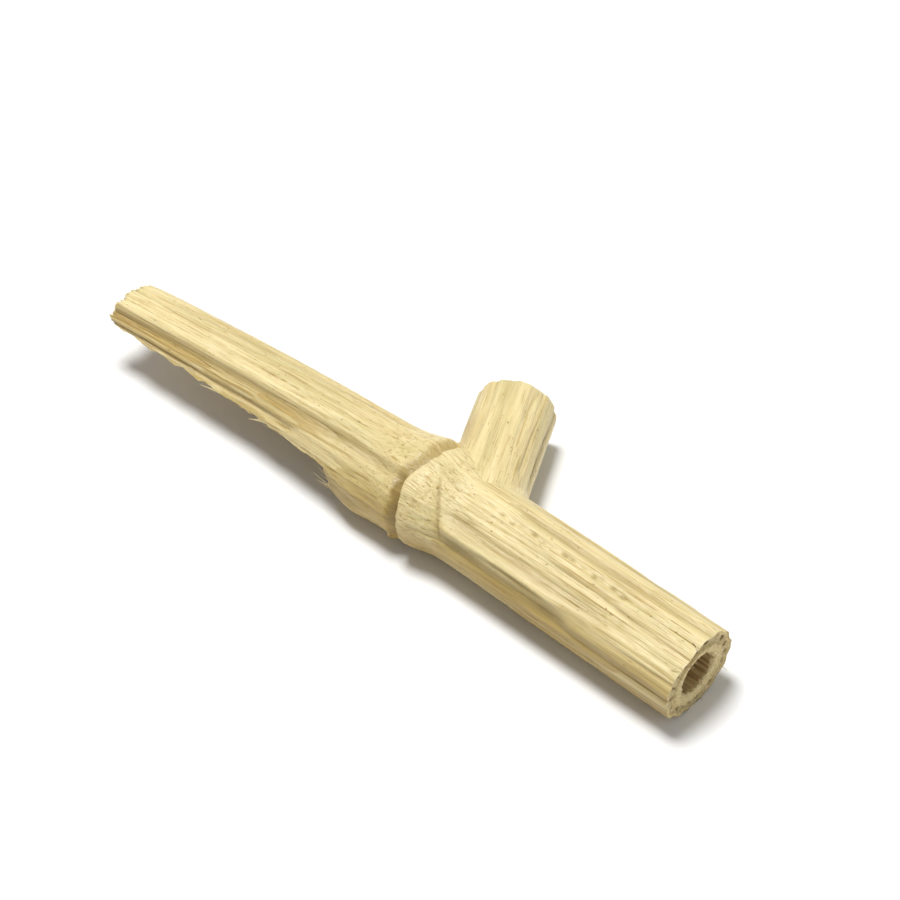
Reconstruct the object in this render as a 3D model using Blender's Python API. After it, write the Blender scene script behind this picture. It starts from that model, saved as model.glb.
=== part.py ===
"""A cut piece of dried wheatgrass rhizome, lying on a surface.

The stem runs along X and its node is at x = 0. The internode towards +X is whole and cut
across. The one towards -X has lost its lower front wall, so it is an open gutter. A side
shoot leaves the stem behind the node and is cut short.

Angles around the stem are in degrees, 0 at the top and growing towards -Y, the front.
"""

import math

import bmesh
import bpy
from mathutils import Vector

MM = 0.001

# The stem
LEFT_LENGTH = 10.2 * MM
RIGHT_LENGTH = 9.3 * MM
NODE_RADIUS = 1.245 * MM
TIP_RADIUS = 1.05 * MM
CUT_RADIUS = 1.31 * MM
AXIS_HEIGHT = 1.19 * MM
TIP_SAG = 0.10 * MM
TIP_BEND = 0.65 * MM
BEND_POWER = 1.5
TAPER_POWER = 1.3
OVAL = 0.045
CUT_SLANT = 0.05
CUT_SLANT_ANGLE = 40.0
CUT_SLANT_FROM = 0.67

# The node
NODE_SWELLING = 0.19 * MM
NODE_REACH_LEFT = 0.62 * MM
NODE_REACH_RIGHT = 0.98 * MM
NODE_SHOULDER = 3
NODE_UNDERSIDE = (0.75, 55.0)
SCAR_DEPTH = 0.13 * MM
SCAR_WIDTH = 0.50 * MM
SCAR_REACH = 0.9 * MM
SHEATH_STEP = 0.05 * MM
SHEATH_RAMP = 0.12 * MM
SHEATH_FADE = 1.3 * MM
SCAR_POINT_ANGLE = 37.0
SCAR_POINT = 0.06 * MM
SCAR_SPREAD = 0.34 * MM
SCAR_UNEVEN = 0.06 * MM
SCAR_TURN = 32.0
ROOT_SCARS = ((-0.30 * MM, 152.0), (0.12 * MM, 118.0), (-0.22 * MM, 248.0))
ROOT_SCAR_HEIGHT = 0.10 * MM
ROOT_SCAR_RADIUS = 0.22 * MM

# Furrows as (angle, depth, half width in degrees), on each side of the node
LEFT_FURROWS = (
    (38, 0.12 * MM, 8), (-13, 0.05 * MM, 6), (-38, 0.07 * MM, 7), (-66, 0.06 * MM, 7),
    (-95, 0.09 * MM, 8), (-128, 0.07 * MM, 7), (-158, 0.07 * MM, 7), (61, 0.07 * MM, 6),
    (96, 0.08 * MM, 7), (128, 0.07 * MM, 7), (164, 0.07 * MM, 7),
)
RIGHT_FURROWS = (
    (42, 0.07 * MM, 9), (20, 0.04 * MM, 6), (0, 0.04 * MM, 6), (75, 0.10 * MM, 7),
    (-24, 0.06 * MM, 6), (-49, 0.07 * MM, 7), (-77, 0.08 * MM, 8), (-106, 0.07 * MM, 7),
    (-135, 0.09 * MM, 8), (-163, 0.07 * MM, 7), (108, 0.07 * MM, 8), (133, 0.07 * MM, 7),
    (159, 0.07 * MM, 7),
)
FURROW_DRIFT = 3.0
FURROW_WAVE = 2.6 * MM
FURROW_PHASE = 2.4
NODE_MARGIN = 0.3 * MM
FURROW_RAMP = 0.8 * MM
CREST_ANGLE = 61.0
CREST_DRIFT = 2.3
CREST_WAVE = 0.8 * MM
CREST_START = 1.4 * MM
CREST_RAMP = 0.4 * MM
CREST_HEIGHT = 0.07 * MM
CREST_WIDTH = 7.0

# Faces pressed flat, as (angle, share of the radius, half width in degrees)
RIGHT_FLAT = (27.0, 0.12, 36.0)
LEFT_FLAT = (-12.0, 0.05, 34.0)
FLAT_START = 0.45 * MM
FLAT_RAMP = 1.15 * MM
LEFT_SIDE = (63.0, 0.20, 26.0)
LEFT_SIDE_START = 2.6 * MM
LEFT_SIDE_RAMP = 3.0 * MM

# The hollow of each internode
RIGHT_BORE = 0.60 * MM
LEFT_BORE = 0.70 * MM
DIAPHRAGM = 0.55 * MM
DOME_LENGTH = 0.5 * MM
DOME_START = 0.3
BORE_UNEVEN = 0.05
BORE_LOBES = 3
RIGHT_BORE_TURN = 40.0
LEFT_BORE_TURN = 160.0
CUTTER_OVERRUN = 0.6 * MM

# The broken wall of the internode towards -X
BREAK_START = -2.40 * MM
BREAK_SLANT = 0.65 * MM
BREAK_SLANT_TURN = (55.0, 40.0)
BREAK_RAGGED = 0.10 * MM
BREAK_TEETH = 9
FRONT_LIP = (81.0, 65.0)
BACK_LIP = (188.0, 320.0)
BACK_LIP_POWER = 1.5
BACK_LIP_ROUGHER = 1.5
LIP_WAVES = ((0.37 * MM, 2.0), (0.19 * MM, 1.2))
TIP_RAGGED = 0.20 * MM
TIP_TEETH = 7
TIP_TURN = 20.0
TIP_RAGGED_FROM = 0.875
CUTTER_RADIUS = 2.4 * MM
SPLAY = 0.28 * MM
SPLAY_X = -1.3 * MM
SPLAY_REACH = 0.9 * MM
SPLAY_ANGLE = 108.0
SPLAY_WIDTH = 38.0

# The side shoot
SHOOT_X = 1.75 * MM
SHOOT_ANGLE = 117.0
SHOOT_LENGTH = 4.3 * MM
SHOOT_START = 0.25 * MM
SHOOT_RADIUS = 1.12 * MM
SHOOT_END_HEIGHT = 1.05 * MM
SHOOT_FLARE = 0.42 * MM
SHOOT_FLARE_RUN = 1.5 * MM
SHOOT_TAPER = 0.03
SHOOT_FURROWS = 11
SHOOT_FURROW_DEPTH = 0.05 * MM
SHOOT_FURROW_TURN = 20.0
SHOOT_BORE = 0.42 * MM
SHOOT_BORE_START = 2.5 * MM
SHOOT_BORE_END = 0.6
SHOOT_BORE_DOME = 0.33
FORK_GAP = 0.03 * MM

# Mesh steps
STEM_SIDES = 60
STEM_RINGS = 44
RING_CROWDING = 1.5
BORE_SIDES = 24
BORE_RINGS = 12
SHOOT_SIDES = 36
SHOOT_RINGS = 13
BREAK_SIDES = 28
BREAK_RINGS = 30
SHOOT_BORE_RINGS = 4
SHARP_ANGLE = 50.0

# Looks
STRAW = (0.78, 0.66, 0.40, 1.0)
PALE_STRAW = (0.84, 0.74, 0.50, 1.0)
SKIN_ROUGHNESS = 0.55


def smooth(value):
    """0 below 0, 1 above 1 and a smooth ramp between."""
    ramp = min(max(value, 0.0), 1.0)
    return ramp * ramp * (3 - 2 * ramp)


def bell(offset, width):
    return math.exp(-((offset / width) ** 2))


def turn_between(angle, centre):
    """Signed angle from centre to angle, within half a turn."""
    return (angle - centre + 180) % 360 - 180


def share_left(x):
    """0 at the node and 1 at the broken tip."""
    return max(-x / LEFT_LENGTH, 0.0)


def share_right(x):
    """0 at the node and 1 at the cut end."""
    return max(x / RIGHT_LENGTH, 0.0)


def axis_point(x):
    """The stem's centre: straight to the cut end, with a slight bend and sag to the tip."""
    bend = -TIP_BEND * share_left(x) ** BEND_POWER
    return Vector((x, bend, AXIS_HEIGHT - TIP_SAG * share_left(x)))


def scar_line(angle):
    """Where the leaf scar crosses the stem: a V that points at the tip on the front."""
    aside = turn_between(angle, SCAR_POINT_ANGLE)
    spread = SCAR_SPREAD + SCAR_UNEVEN * math.sin(math.radians(aside))
    return SCAR_POINT + spread * (1 - math.exp(-abs(aside) / SCAR_TURN))


def clear_of_node(x, start, ramp):
    """0 up to a distance from the node and 1 from a ramp's length further out."""
    return smooth((abs(x) - start) / ramp)


def furrow_depth(x, angle, furrows):
    """Total depth of the furrows, each drifting a little as it runs."""
    depth = 0.0
    for number, (centre, deep, width) in enumerate(furrows):
        drift = FURROW_DRIFT * math.sin(x / FURROW_WAVE + FURROW_PHASE * number)
        depth += deep * bell(turn_between(angle, centre + drift), width)
    return depth * clear_of_node(x, NODE_MARGIN, FURROW_RAMP)


def crest_height(x, angle):
    """The sheath's raised edge, which runs along the lower front from a little past the node."""
    run = x - CREST_START
    centre = CREST_ANGLE + CREST_DRIFT * math.cos(run / CREST_WAVE)
    return CREST_HEIGHT * bell(turn_between(angle, centre), CREST_WIDTH) * smooth(run / CREST_RAMP)


def swelling(x):
    """How much the node swells: briefly towards the tip, and with a shoulder towards the cut end."""
    if x > 0:
        return NODE_SWELLING * math.exp(-((x / NODE_REACH_RIGHT) ** NODE_SHOULDER))
    return NODE_SWELLING * bell(x, NODE_REACH_LEFT)


def node_relief(x, angle):
    """The swelling, the leaf scar with the sheath's step, and the root scars."""
    less, spread = NODE_UNDERSIDE
    relief = swelling(x) * (1 - less * bell(turn_between(angle, 180), spread))
    past_scar = x - scar_line(angle)
    relief -= SCAR_DEPTH * smooth(1 + past_scar / SCAR_WIDTH) * smooth(1 - past_scar / SHEATH_RAMP)
    relief += SHEATH_STEP * smooth(past_scar / SHEATH_RAMP) * math.exp(-max(past_scar, 0.0) / SHEATH_FADE)
    for scar_x, scar_angle in ROOT_SCARS:
        sideways = math.radians(turn_between(angle, scar_angle)) * NODE_RADIUS
        relief += ROOT_SCAR_HEIGHT * bell(math.hypot(x - scar_x, sideways), ROOT_SCAR_RADIUS)
    return relief


def splayed_wall(x, angle):
    """The lower front wall stands out a little where it broke."""
    return SPLAY * bell(x - SPLAY_X, SPLAY_REACH) * bell(turn_between(angle, SPLAY_ANGLE), SPLAY_WIDTH)


def flattened(x, angle):
    """Share of the radius lost on the faces that dried flat, and on the open internode's lower front."""
    flat_angle, flat_depth, flat_width = RIGHT_FLAT if x > 0 else LEFT_FLAT
    flatness = flat_depth * clear_of_node(x, FLAT_START, FLAT_RAMP)
    face = flatness * bell(turn_between(angle, flat_angle), flat_width)
    side_angle, side_depth, side_width = LEFT_SIDE
    side = smooth((-x - LEFT_SIDE_START) / LEFT_SIDE_RAMP)
    return face + side_depth * side * bell(turn_between(angle, side_angle), side_width)


def stem_radius(x, angle):
    left = TIP_RADIUS - NODE_RADIUS
    right = CUT_RADIUS - NODE_RADIUS
    mean = NODE_RADIUS + left * share_left(x) ** TAPER_POWER + right * share_right(x)
    radius = mean * (1 - OVAL * math.cos(math.radians(2 * angle)) - flattened(x, angle))
    radius -= furrow_depth(x, angle, RIGHT_FURROWS if x > 0 else LEFT_FURROWS)
    return radius + crest_height(x, angle) + node_relief(x, angle) + splayed_wall(x, angle)


def around_axis(x, angle, radius):
    """The point at an angle and a distance from the stem's axis."""
    turn = math.radians(angle)
    return axis_point(x) + Vector((0, -math.sin(turn), math.cos(turn))) * radius


def on_floor(point):
    """The lowest ridges are pressed flat where they rest."""
    return Vector((point.x, point.y, max(point.z, 0.0)))


def station(share):
    """Position along the stem for a share from 0 to 1, crowded towards the node."""
    side = 2 * share - 1
    length = RIGHT_LENGTH if side > 0 else LEFT_LENGTH
    return math.copysign(length * abs(side) ** RING_CROWDING, side)


def stem_x(share, angle):
    """The ring's place: it follows the scar at the node, the slanted cut and the ragged tip."""
    x = station(share)
    x += scar_line(angle) * bell(x, SCAR_REACH)
    slant = CUT_SLANT * CUT_RADIUS * math.cos(math.radians(angle - CUT_SLANT_ANGLE))
    x += slant * smooth((share_right(x) - CUT_SLANT_FROM) / (1 - CUT_SLANT_FROM))
    ragged = TIP_RAGGED * (0.5 + 0.5 * math.sin(math.radians(TIP_TEETH * angle + TIP_TURN)))
    return x + ragged * smooth((share_left(x) - TIP_RAGGED_FROM) / (1 - TIP_RAGGED_FROM))


def stem_point(share, angle):
    x = stem_x(share, angle)
    return on_floor(around_axis(x, angle, stem_radius(x, angle)))


def grown_stem_point(share, angle):
    """The stem a little thicker, which trims the shoot so that a thin gap stays between."""
    x = stem_x(share, angle)
    return around_axis(x, angle, stem_radius(x, angle) + FORK_GAP)


def bore_width(depth, angle, turn):
    """Share of the bore's radius at a depth past its domed end, a little out of round."""
    dome = math.sqrt(min(depth / DOME_LENGTH, 1.0))
    return max(dome, DOME_START) * (1 + BORE_UNEVEN * math.sin(math.radians(BORE_LOBES * angle + turn)))


def right_bore_point(share, angle):
    depth = share * (RIGHT_LENGTH + CUTTER_OVERRUN - DIAPHRAGM)
    return around_axis(DIAPHRAGM + depth, angle, RIGHT_BORE * bore_width(depth, angle, RIGHT_BORE_TURN))


def left_bore_point(share, angle):
    depth = share * (LEFT_LENGTH + CUTTER_OVERRUN - DIAPHRAGM)
    return around_axis(-DIAPHRAGM - depth, angle, LEFT_BORE * bore_width(depth, angle, LEFT_BORE_TURN))


def lip_angles(x):
    """Front and back edges of the broken wall's gap."""
    share = min((BREAK_START - x) / (LEFT_LENGTH + BREAK_START), 1.0)
    ragged = sum(height * math.sin(x / run) for run, height in LIP_WAVES)
    front = FRONT_LIP[0] + (FRONT_LIP[1] - FRONT_LIP[0]) * share + ragged
    back = BACK_LIP[0] + (BACK_LIP[1] - BACK_LIP[0]) * share**BACK_LIP_POWER
    return front, back - BACK_LIP_ROUGHER * ragged


def break_edge(angle):
    """How far the gap's end is from BREAK_START: it slants towards the node below, and is ragged."""
    slant_in, slant_out = BREAK_SLANT_TURN
    slant = smooth((angle - FRONT_LIP[0]) / slant_in) * smooth((BACK_LIP[0] - angle) / slant_out)
    return BREAK_SLANT * slant + BREAK_RAGGED * math.sin(math.radians(BREAK_TEETH * angle))


def break_point(share, turn):
    """A sector from the axis outwards, between the two lips of the broken wall."""
    step = 360 / BREAK_SIDES
    x = BREAK_START - share * (LEFT_LENGTH + CUTTER_OVERRUN + BREAK_START)
    if turn < step / 2:
        return axis_point(x)
    front, back = lip_angles(x)
    angle = front + (back - front) * (turn - step) / (360 - 2 * step)
    if share == 0:
        x += break_edge(angle)
    return around_axis(x, angle, CUTTER_RADIUS)


def shoot_axis(along):
    """A point on the side shoot's axis and the axis's sideways direction, level with the floor."""
    turn = math.radians(SHOOT_ANGLE)
    forward = Vector((math.cos(turn), math.sin(turn), 0))
    sink = (SHOOT_END_HEIGHT - AXIS_HEIGHT) * along / SHOOT_LENGTH
    centre = Vector((SHOOT_X, 0, AXIS_HEIGHT + sink)) + forward * along
    return centre, Vector((-forward.y, forward.x, 0))


def shoot_surface(along, angle, radius):
    centre, sideways = shoot_axis(along)
    turn = math.radians(angle)
    return centre + sideways * (math.sin(turn) * radius) + Vector((0, 0, math.cos(turn) * radius))


def shoot_point(share, angle):
    """The shoot's skin: it spreads along the stem at its base and is cut across at its end."""
    along = SHOOT_START + share * (SHOOT_LENGTH - SHOOT_START)
    flare = SHOOT_FLARE * (1 - smooth(along / SHOOT_FLARE_RUN)) * math.sin(math.radians(angle)) ** 2
    groove = 0.5 - 0.5 * math.cos(math.radians(SHOOT_FURROWS * angle + SHOOT_FURROW_TURN * along / MM))
    radius = SHOOT_RADIUS * (1 - SHOOT_TAPER * share) + flare - SHOOT_FURROW_DEPTH * groove
    return on_floor(shoot_surface(along, angle, radius))


def shoot_bore_point(share, angle):
    along = SHOOT_BORE_START + share * (SHOOT_LENGTH + CUTTER_OVERRUN - SHOOT_BORE_START)
    width = SHOOT_BORE_END + (1 - SHOOT_BORE_END) * smooth(share / SHOOT_BORE_DOME)
    return shoot_surface(along, angle, SHOOT_BORE * width)


def lofted_tube(name, sides, rings, place):
    """A closed tube: a cylinder with extra rings, each vertex moved to place(share, angle)."""
    bm = bmesh.new()
    bmesh.ops.create_cone(bm, cap_ends=True, segments=sides, radius1=1, radius2=1, depth=1)
    lengthwise = [edge for edge in bm.edges if abs(edge.verts[0].co.z - edge.verts[1].co.z) > 0.5]
    bmesh.ops.subdivide_edges(bm, edges=lengthwise, cuts=rings - 1, use_grid_fill=True)
    for vert in bm.verts:
        share = round((vert.co.z + 0.5) * rings) / rings
        angle = round(math.degrees(math.atan2(vert.co.y, vert.co.x)) % 360, 4) % 360
        vert.co = place(share, angle)
    if bm.calc_volume(signed=True) < 0:
        bmesh.ops.reverse_faces(bm, faces=bm.faces)
    mesh = bpy.data.meshes.new(name)
    bm.to_mesh(mesh)
    bm.free()
    mesh.shade_smooth()
    mesh.set_sharp_from_angle(angle=math.radians(SHARP_ANGLE))
    return bpy.data.objects.new(name, mesh)


def cut(target, cutter):
    modifier = target.modifiers.new("cut by " + cutter.name, "BOOLEAN")
    modifier.operation = "DIFFERENCE"
    modifier.solver = "EXACT"
    modifier.object = cutter


def dry_skin(name, colour):
    material = bpy.data.materials.new(name)
    material.use_nodes = True
    shader = material.node_tree.nodes["Principled BSDF"]
    shader.inputs["Base Color"].default_value = colour
    shader.inputs["Roughness"].default_value = SKIN_ROUGHNESS
    shader.inputs["Metallic"].default_value = 0.0
    return material


def new_collection(name):
    collection = bpy.data.collections.new(name)
    bpy.context.scene.collection.children.link(collection)
    return collection


def make_cutters(collection):
    cutters = {
        "right bore": lofted_tube("right bore", BORE_SIDES, BORE_RINGS, right_bore_point),
        "left bore": lofted_tube("left bore", BORE_SIDES, BORE_RINGS, left_bore_point),
        "broken wall": lofted_tube("broken wall", BREAK_SIDES, BREAK_RINGS, break_point),
        "shoot bore": lofted_tube("shoot bore", BORE_SIDES, SHOOT_BORE_RINGS, shoot_bore_point),
        "grown stem": lofted_tube("grown stem", STEM_SIDES, STEM_RINGS, grown_stem_point),
    }
    for cutter in cutters.values():
        collection.objects.link(cutter)
        cutter.hide_render = True
        cutter.display_type = "WIRE"
    return cutters


def make_rhizome(collection, cutters):
    stem = lofted_tube("rhizome", STEM_SIDES, STEM_RINGS, stem_point)
    stem.data.materials.append(dry_skin("dried straw skin", STRAW))
    collection.objects.link(stem)
    for name in ("left bore", "right bore", "broken wall"):
        cut(stem, cutters[name])
    return stem


def make_side_shoot(collection, cutters):
    shoot = lofted_tube("side_shoot", SHOOT_SIDES, SHOOT_RINGS, shoot_point)
    shoot.data.materials.append(dry_skin("pale shoot skin", PALE_STRAW))
    collection.objects.link(shoot)
    for name in ("shoot bore", "grown stem"):
        cut(shoot, cutters[name])
    return shoot


def evaluated_corners(objects):
    """Every vertex of the finished pieces, in world space."""
    graph = bpy.context.evaluated_depsgraph_get()
    for item in objects:
        finished = item.evaluated_get(graph)
        mesh = finished.to_mesh()
        yield from (finished.matrix_world @ vert.co for vert in mesh.vertices)
        finished.to_mesh_clear()


def centre_on_origin(pieces, everything):
    """Hang all objects on one empty, with the middle of the pieces' footprint at the origin."""
    anchor = bpy.data.objects.new("rhizome origin", None)
    bpy.context.scene.collection.objects.link(anchor)
    for item in everything:
        item.parent = anchor
    bpy.context.view_layer.update()
    corners = list(evaluated_corners(pieces))
    xs = [corner.x for corner in corners]
    ys = [corner.y for corner in corners]
    anchor.location = (-(min(xs) + max(xs)) / 2, -(min(ys) + max(ys)) / 2, 0)


def main():
    for item in list(bpy.data.objects):
        bpy.data.objects.remove(item, do_unlink=True)
    collection = new_collection("wheatgrass rhizome")
    cutters = make_cutters(new_collection("cutters"))
    pieces = [make_rhizome(collection, cutters), make_side_shoot(collection, cutters)]
    centre_on_origin(pieces, pieces + list(cutters.values()))


main()
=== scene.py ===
"""Looks of one cut, dried wheatgrass rhizome piece on a pale floor.

Lengths are in millimetres until a mesh is made. x runs along the stem from the node, and
angles around the stem are in degrees, 0 at the top and growing towards the front. A ramp is
(start, length) and a fall (end, length), a span is (start, ramp up, end, ramp down), a lobe is
(angle, half width) and streaks are (cells around the stem, length, strength).
"""

import math

import bpy
import numpy as np
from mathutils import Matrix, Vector


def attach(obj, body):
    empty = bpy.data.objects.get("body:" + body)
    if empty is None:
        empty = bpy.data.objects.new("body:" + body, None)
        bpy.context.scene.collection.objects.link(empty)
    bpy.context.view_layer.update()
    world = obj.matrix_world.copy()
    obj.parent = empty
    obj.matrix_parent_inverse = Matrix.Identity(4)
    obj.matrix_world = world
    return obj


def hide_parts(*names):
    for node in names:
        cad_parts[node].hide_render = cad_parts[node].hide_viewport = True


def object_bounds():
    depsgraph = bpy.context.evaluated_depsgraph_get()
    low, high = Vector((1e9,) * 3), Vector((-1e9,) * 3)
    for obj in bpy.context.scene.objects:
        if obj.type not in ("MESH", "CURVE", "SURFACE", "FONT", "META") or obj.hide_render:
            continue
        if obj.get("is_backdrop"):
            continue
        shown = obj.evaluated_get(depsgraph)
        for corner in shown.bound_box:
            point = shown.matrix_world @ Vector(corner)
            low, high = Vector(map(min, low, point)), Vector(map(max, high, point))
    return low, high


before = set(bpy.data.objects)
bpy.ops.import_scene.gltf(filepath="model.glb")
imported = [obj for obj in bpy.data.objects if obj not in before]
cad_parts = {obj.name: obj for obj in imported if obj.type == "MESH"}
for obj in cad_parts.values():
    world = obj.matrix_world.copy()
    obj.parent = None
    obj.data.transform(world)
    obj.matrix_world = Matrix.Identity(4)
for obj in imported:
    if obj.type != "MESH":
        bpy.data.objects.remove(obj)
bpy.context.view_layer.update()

MM = 0.001
# Masks: painted shade with dark tissue, peeled skin with a painted highlight, the hollow, torn faces, and
# brown staining with painted shade
MASKS = ("groove", "peel_and_highlight", "hollow", "torn", "stain_and_shade")

# Numbers that mix a lattice point's column, row and seed into a random value
MIXING = (127.1, 311.7, 74.7, 43758.5453)

# Where the node's centre line stands in the frame
STEM_ORIGIN = (0.417, -1.397)

# The stem's form, as in the solids
LEFT_LENGTH = 10.2
RIGHT_LENGTH = 9.3
NODE_RADIUS = 1.245
TIP_RADIUS = 1.05
TIP_TAPER = 1.3
CUT_RADIUS = 1.31
AXIS_HEIGHT = 1.19
TIP_SAG = 0.10
TIP_BEND = 0.65
BEND_POWER = 1.5
OVAL = 0.045
CUT_SLANT = 0.05
CUT_SLANT_ANGLE = 40.0
SHARP_ANGLE = 48.0

# Faces that dried flat, as (angle, share of the radius, half width)
RIGHT_FLAT = (27.0, 0.12, 36.0)
LEFT_FLAT = (-12.0, 0.05, 34.0)
LEFT_SIDE = (63.0, 0.20, 26.0)
FLAT_RAMP = (0.45, 1.15)
LEFT_SIDE_RAMP = (2.6, 3.0)

# The node's swelling, with less of it underneath
NODE_SWELLING = 0.19
NODE_REACH_LEFT = 0.62
NODE_REACH_RIGHT = 0.98
NODE_SHOULDER = 3
UNDERSIDE_LESS = 0.75
UNDERSIDE_LOBE = (180.0, 55.0)

# The leaf scar. A pair that isn't a ramp is for its upper and its lower arm
SCAR_POINT_ANGLE = 37.0
SCAR_POINT = 0.06
SCAR_SPREAD = 0.34
SCAR_UNEVEN = 0.06
SCAR_TURN = 32.0
SCAR_OVERLAP = 0.10
SCAR_RAGGED = 0.022
SCAR_RAGS = ((40, 1.0, 1.0), (96, 1.0, 0.6))
LOWER_ARM_BLEND = 14.0
LOWER_ARM_FALL = (170.0, 60.0)
SCAR_DEPTH = (0.11, 0.19)
SCAR_WIDTH = (0.56, 0.50)
# The scar's darkness is partly its own colour and partly painted shade in its furrow
SCAR_DARK = (0.66, 1.41)
SCAR_DARK_RAMP = (-0.86, 0.42)
SCAR_STAIN = (0.55, 1.0)
SCAR_STAIN_RAMP = (-1.0, 0.6)
SCAR_BLUR = ((40, 0.3, 0.16),)
SCAR_STREAKS = ((110, 0.6, 0.30),)
SCAR_STREAK_MEAN = 0.82
SCAR_FADE = 0.4
SCAR_FADE_RAMP = (66.0, 30.0)

# The sheath's edge over the scar, from inside to the lip, as (ahead, below the lip, darkness). The darkness
# is painted shade under the lip
LEDGE = (
    (0.14, 0.9, 1.0), (0.12, 0.30, 1.0), (0.08, 0.17, 0.9), (0.02, 0.10, 0.7), (-0.005, 0.05, 0.5),
    (0.0, 0.015, 0.3),
)
LIP_AHEAD = 0.02
LEDGE_TORN = 0.5
LIP_FRAYED = 0.4
LIP_FRAYED_REACH = 0.25
LIP_STAIN = (0.3, 0.04)
SHEATH_STEP = 0.05
SHEATH_FADE = 1.3

# The faint ring at the end of the swollen node, on the lower front alone
RING_START = 1.12
RING_SLOPE = 0.0125
RING_DEPTH = 0.04
RING_WIDTH = 0.05
RING_SPAN = (8.0, 14.0, 82.0, 16.0)
# Before the ring, the flank's painted shade starts lower by this turn, over this ramp
RING_SHADE_TURN = 18.0
RING_SHADE_RAMP = 0.3

# Scars of thin roots, as (x, angle), with their rims, pits and stains as (height, half width)
ROOT_SCARS = ((-0.30, 152.0), (0.12, 118.0), (-0.22, 248.0))
ROOT_SCAR_RADIUS = 0.17
ROOT_SCAR_RIM = (0.09, 0.07)
ROOT_SCAR_PIT = (0.05, 0.09)
ROOT_STAIN = (0.9, 0.26)

# Furrows as (angle, depth, half width in degrees, from x, to x)
LEFT_FURROWS = (
    (38, 0.12, 8.5, -11, 0.3), (-13, 0.05, 5, -11, -1.2), (-38, 0.06, 6, -9.5, -0.5),
    (-66, 0.06, 6, -11, -0.4), (-95, 0.09, 7, -11, -0.6), (-128, 0.07, 6, -11, -0.5),
    (-158, 0.07, 6, -11, -0.5), (61, 0.07, 5, -11, -3.3), (96, 0.08, 6, -11, -0.6),
    (128, 0.07, 6, -11, -0.6), (164, 0.07, 6, -11, -0.4), (10, 0.03, 4, -8.4, -3.1),
)
RIGHT_FURROWS = (
    (42, 0.075, 9, 1.0, 7.2), (25, 0.035, 4.5, 4.2, 11), (0, 0.035, 4.5, 2.4, 8.0),
    (74, 0.095, 7.5, 1.2, 6.2), (84, 0.06, 6, 4.5, 11), (-24, 0.06, 5, 0.3, 11),
    (-49, 0.07, 6, 0.5, 11), (-77, 0.08, 7, 0.5, 11), (-106, 0.07, 6, 0.5, 11),
    (-135, 0.09, 7, 0.4, 11), (-163, 0.07, 6, 0.4, 11), (108, 0.07, 7, 0.5, 11),
    (133, 0.07, 6, 0.5, 11), (159, 0.07, 6, 0.5, 11), (14, 0.03, 4, 1.0, 5.2),
    (60, 0.03, 4, 5.0, 11), (-19, 0.05, 8, 2.6, 7.4), (73, 0.04, 6, 1.0, 3.2),
)
SHOOT_FURROWS = (
    (4, 0.035, 6, 0.9, 5), (31, 0.045, 5, 0.6, 5), (62, 0.040, 6, 1.2, 5), (97, 0.05, 6, 0.8, 5),
    (128, 0.045, 6, 0.8, 5), (166, 0.05, 7, 0.8, 5), (-29, 0.03, 5, 1.6, 5), (-47, 0.04, 5, 0.8, 3.6),
    (-82, 0.05, 6, 0.6, 5), (-121, 0.045, 6, 0.8, 5), (-152, 0.05, 6, 0.8, 5), (17, 0.02, 4, 2.4, 5),
)
FURROW_DRIFT = 3.0
FURROW_WAVE = 2.6
FURROW_PHASE = 2.4
FURROW_RAMP = 0.9

# The sheath's raised crest along the lower front, with the widths above and below it
CREST_ANGLE = 61.0
CREST_DRIFT = 2.3
CREST_WAVES = 1.26
CREST_WAVES_START = 1.5
CREST_HEIGHT = 0.085
CREST_WIDTHS = (9.0, 3.2)
CREST_RAMP = (-0.1, 0.4)
CREST_LOWER = 0.55
CREST_LOWER_RAMP = (4.8, 1.6)
# How much paler the crest is painted: a painted highlight along it
CREST_HIGHLIGHT = 0.8

# The bulge of the front wall before the break
SPLAY = 0.28
SPLAY_X = -1.3
SPLAY_REACH = 0.9
SPLAY_LOBE = (108.0, 38.0)

# Pits in a row along the top of the whole internode
PIT_ANGLE = 2.0
PIT_FIRST = 2.7
PIT_STEP = 0.34
PIT_COUNT = 13
PIT_DEPTH = 0.055
PIT_RADIUS = 0.055
PIT_LENGTHENED = 1.6
PIT_SHIFT = 0.08
PIT_TURN = 2.5
PIT_WAVES = (2.3, 1.7)
PIT_UNEVEN = 0.3

# The dried skin's fine relief, creases and flakes
SKIN_RELIEF = (
    (5, 2.4, 0.022), (46, 5.0, 0.011), (90, 2.6, 0.007), (140, 1.1, 0.005), (30, 0.16, 0.004),
)
NODE_RELIEF = ((16, 0.12, 0.007),)
NODE_RELIEF_REACH = 0.9
CREASES = ((40, 4.5, 1.0), (84, 2.6, 0.6))
CREASE_SHARPNESS = 11
CREASE_DEPTH = 0.022
NODE_CREASES_LESS = 0.7
FLAKES = ((24, 3.0, 1.0), (66, 0.8, 0.35))
FLAKE_EDGE = (0.52, 0.08)
FLAKE_DEPTH = 0.010
FLAKES_RAMP = (1.2, 0.6)

# How deep a furrow or pit is where its painted shade is darkest, and how strong the painted shade is in
# creases and the ring's line
RIGHT_FURROW_DARK = 0.13
FURROW_DARK = 0.17
PIT_DARK = 0.07
CREASE_DARK = 0.28
SHOOT_CREASE_DARK = 0.3
RING_DARK = 0.7

# The browner flank below the front, partly brown staining and partly painted shade, and painted shade along
# the thinner side
FLANK_SPAN = (42.0, 48.0, 215.0, 50.0)
FLANK_STAIN_AND_SHADE = 0.84
FLANK_UNEVEN = 0.16
FLANK_CELL = (1.8, 40.0)
# Painted shade along the broken internode's side just below its top, towards the tip
SIDE_PAINTED_SHADE = 0.9
SIDE_PAINTED_SHADE_RAMP = (1.9, 2.2)
SIDE_PAINTED_SHADE_LOBE = (44.0, 12.0)

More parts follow.
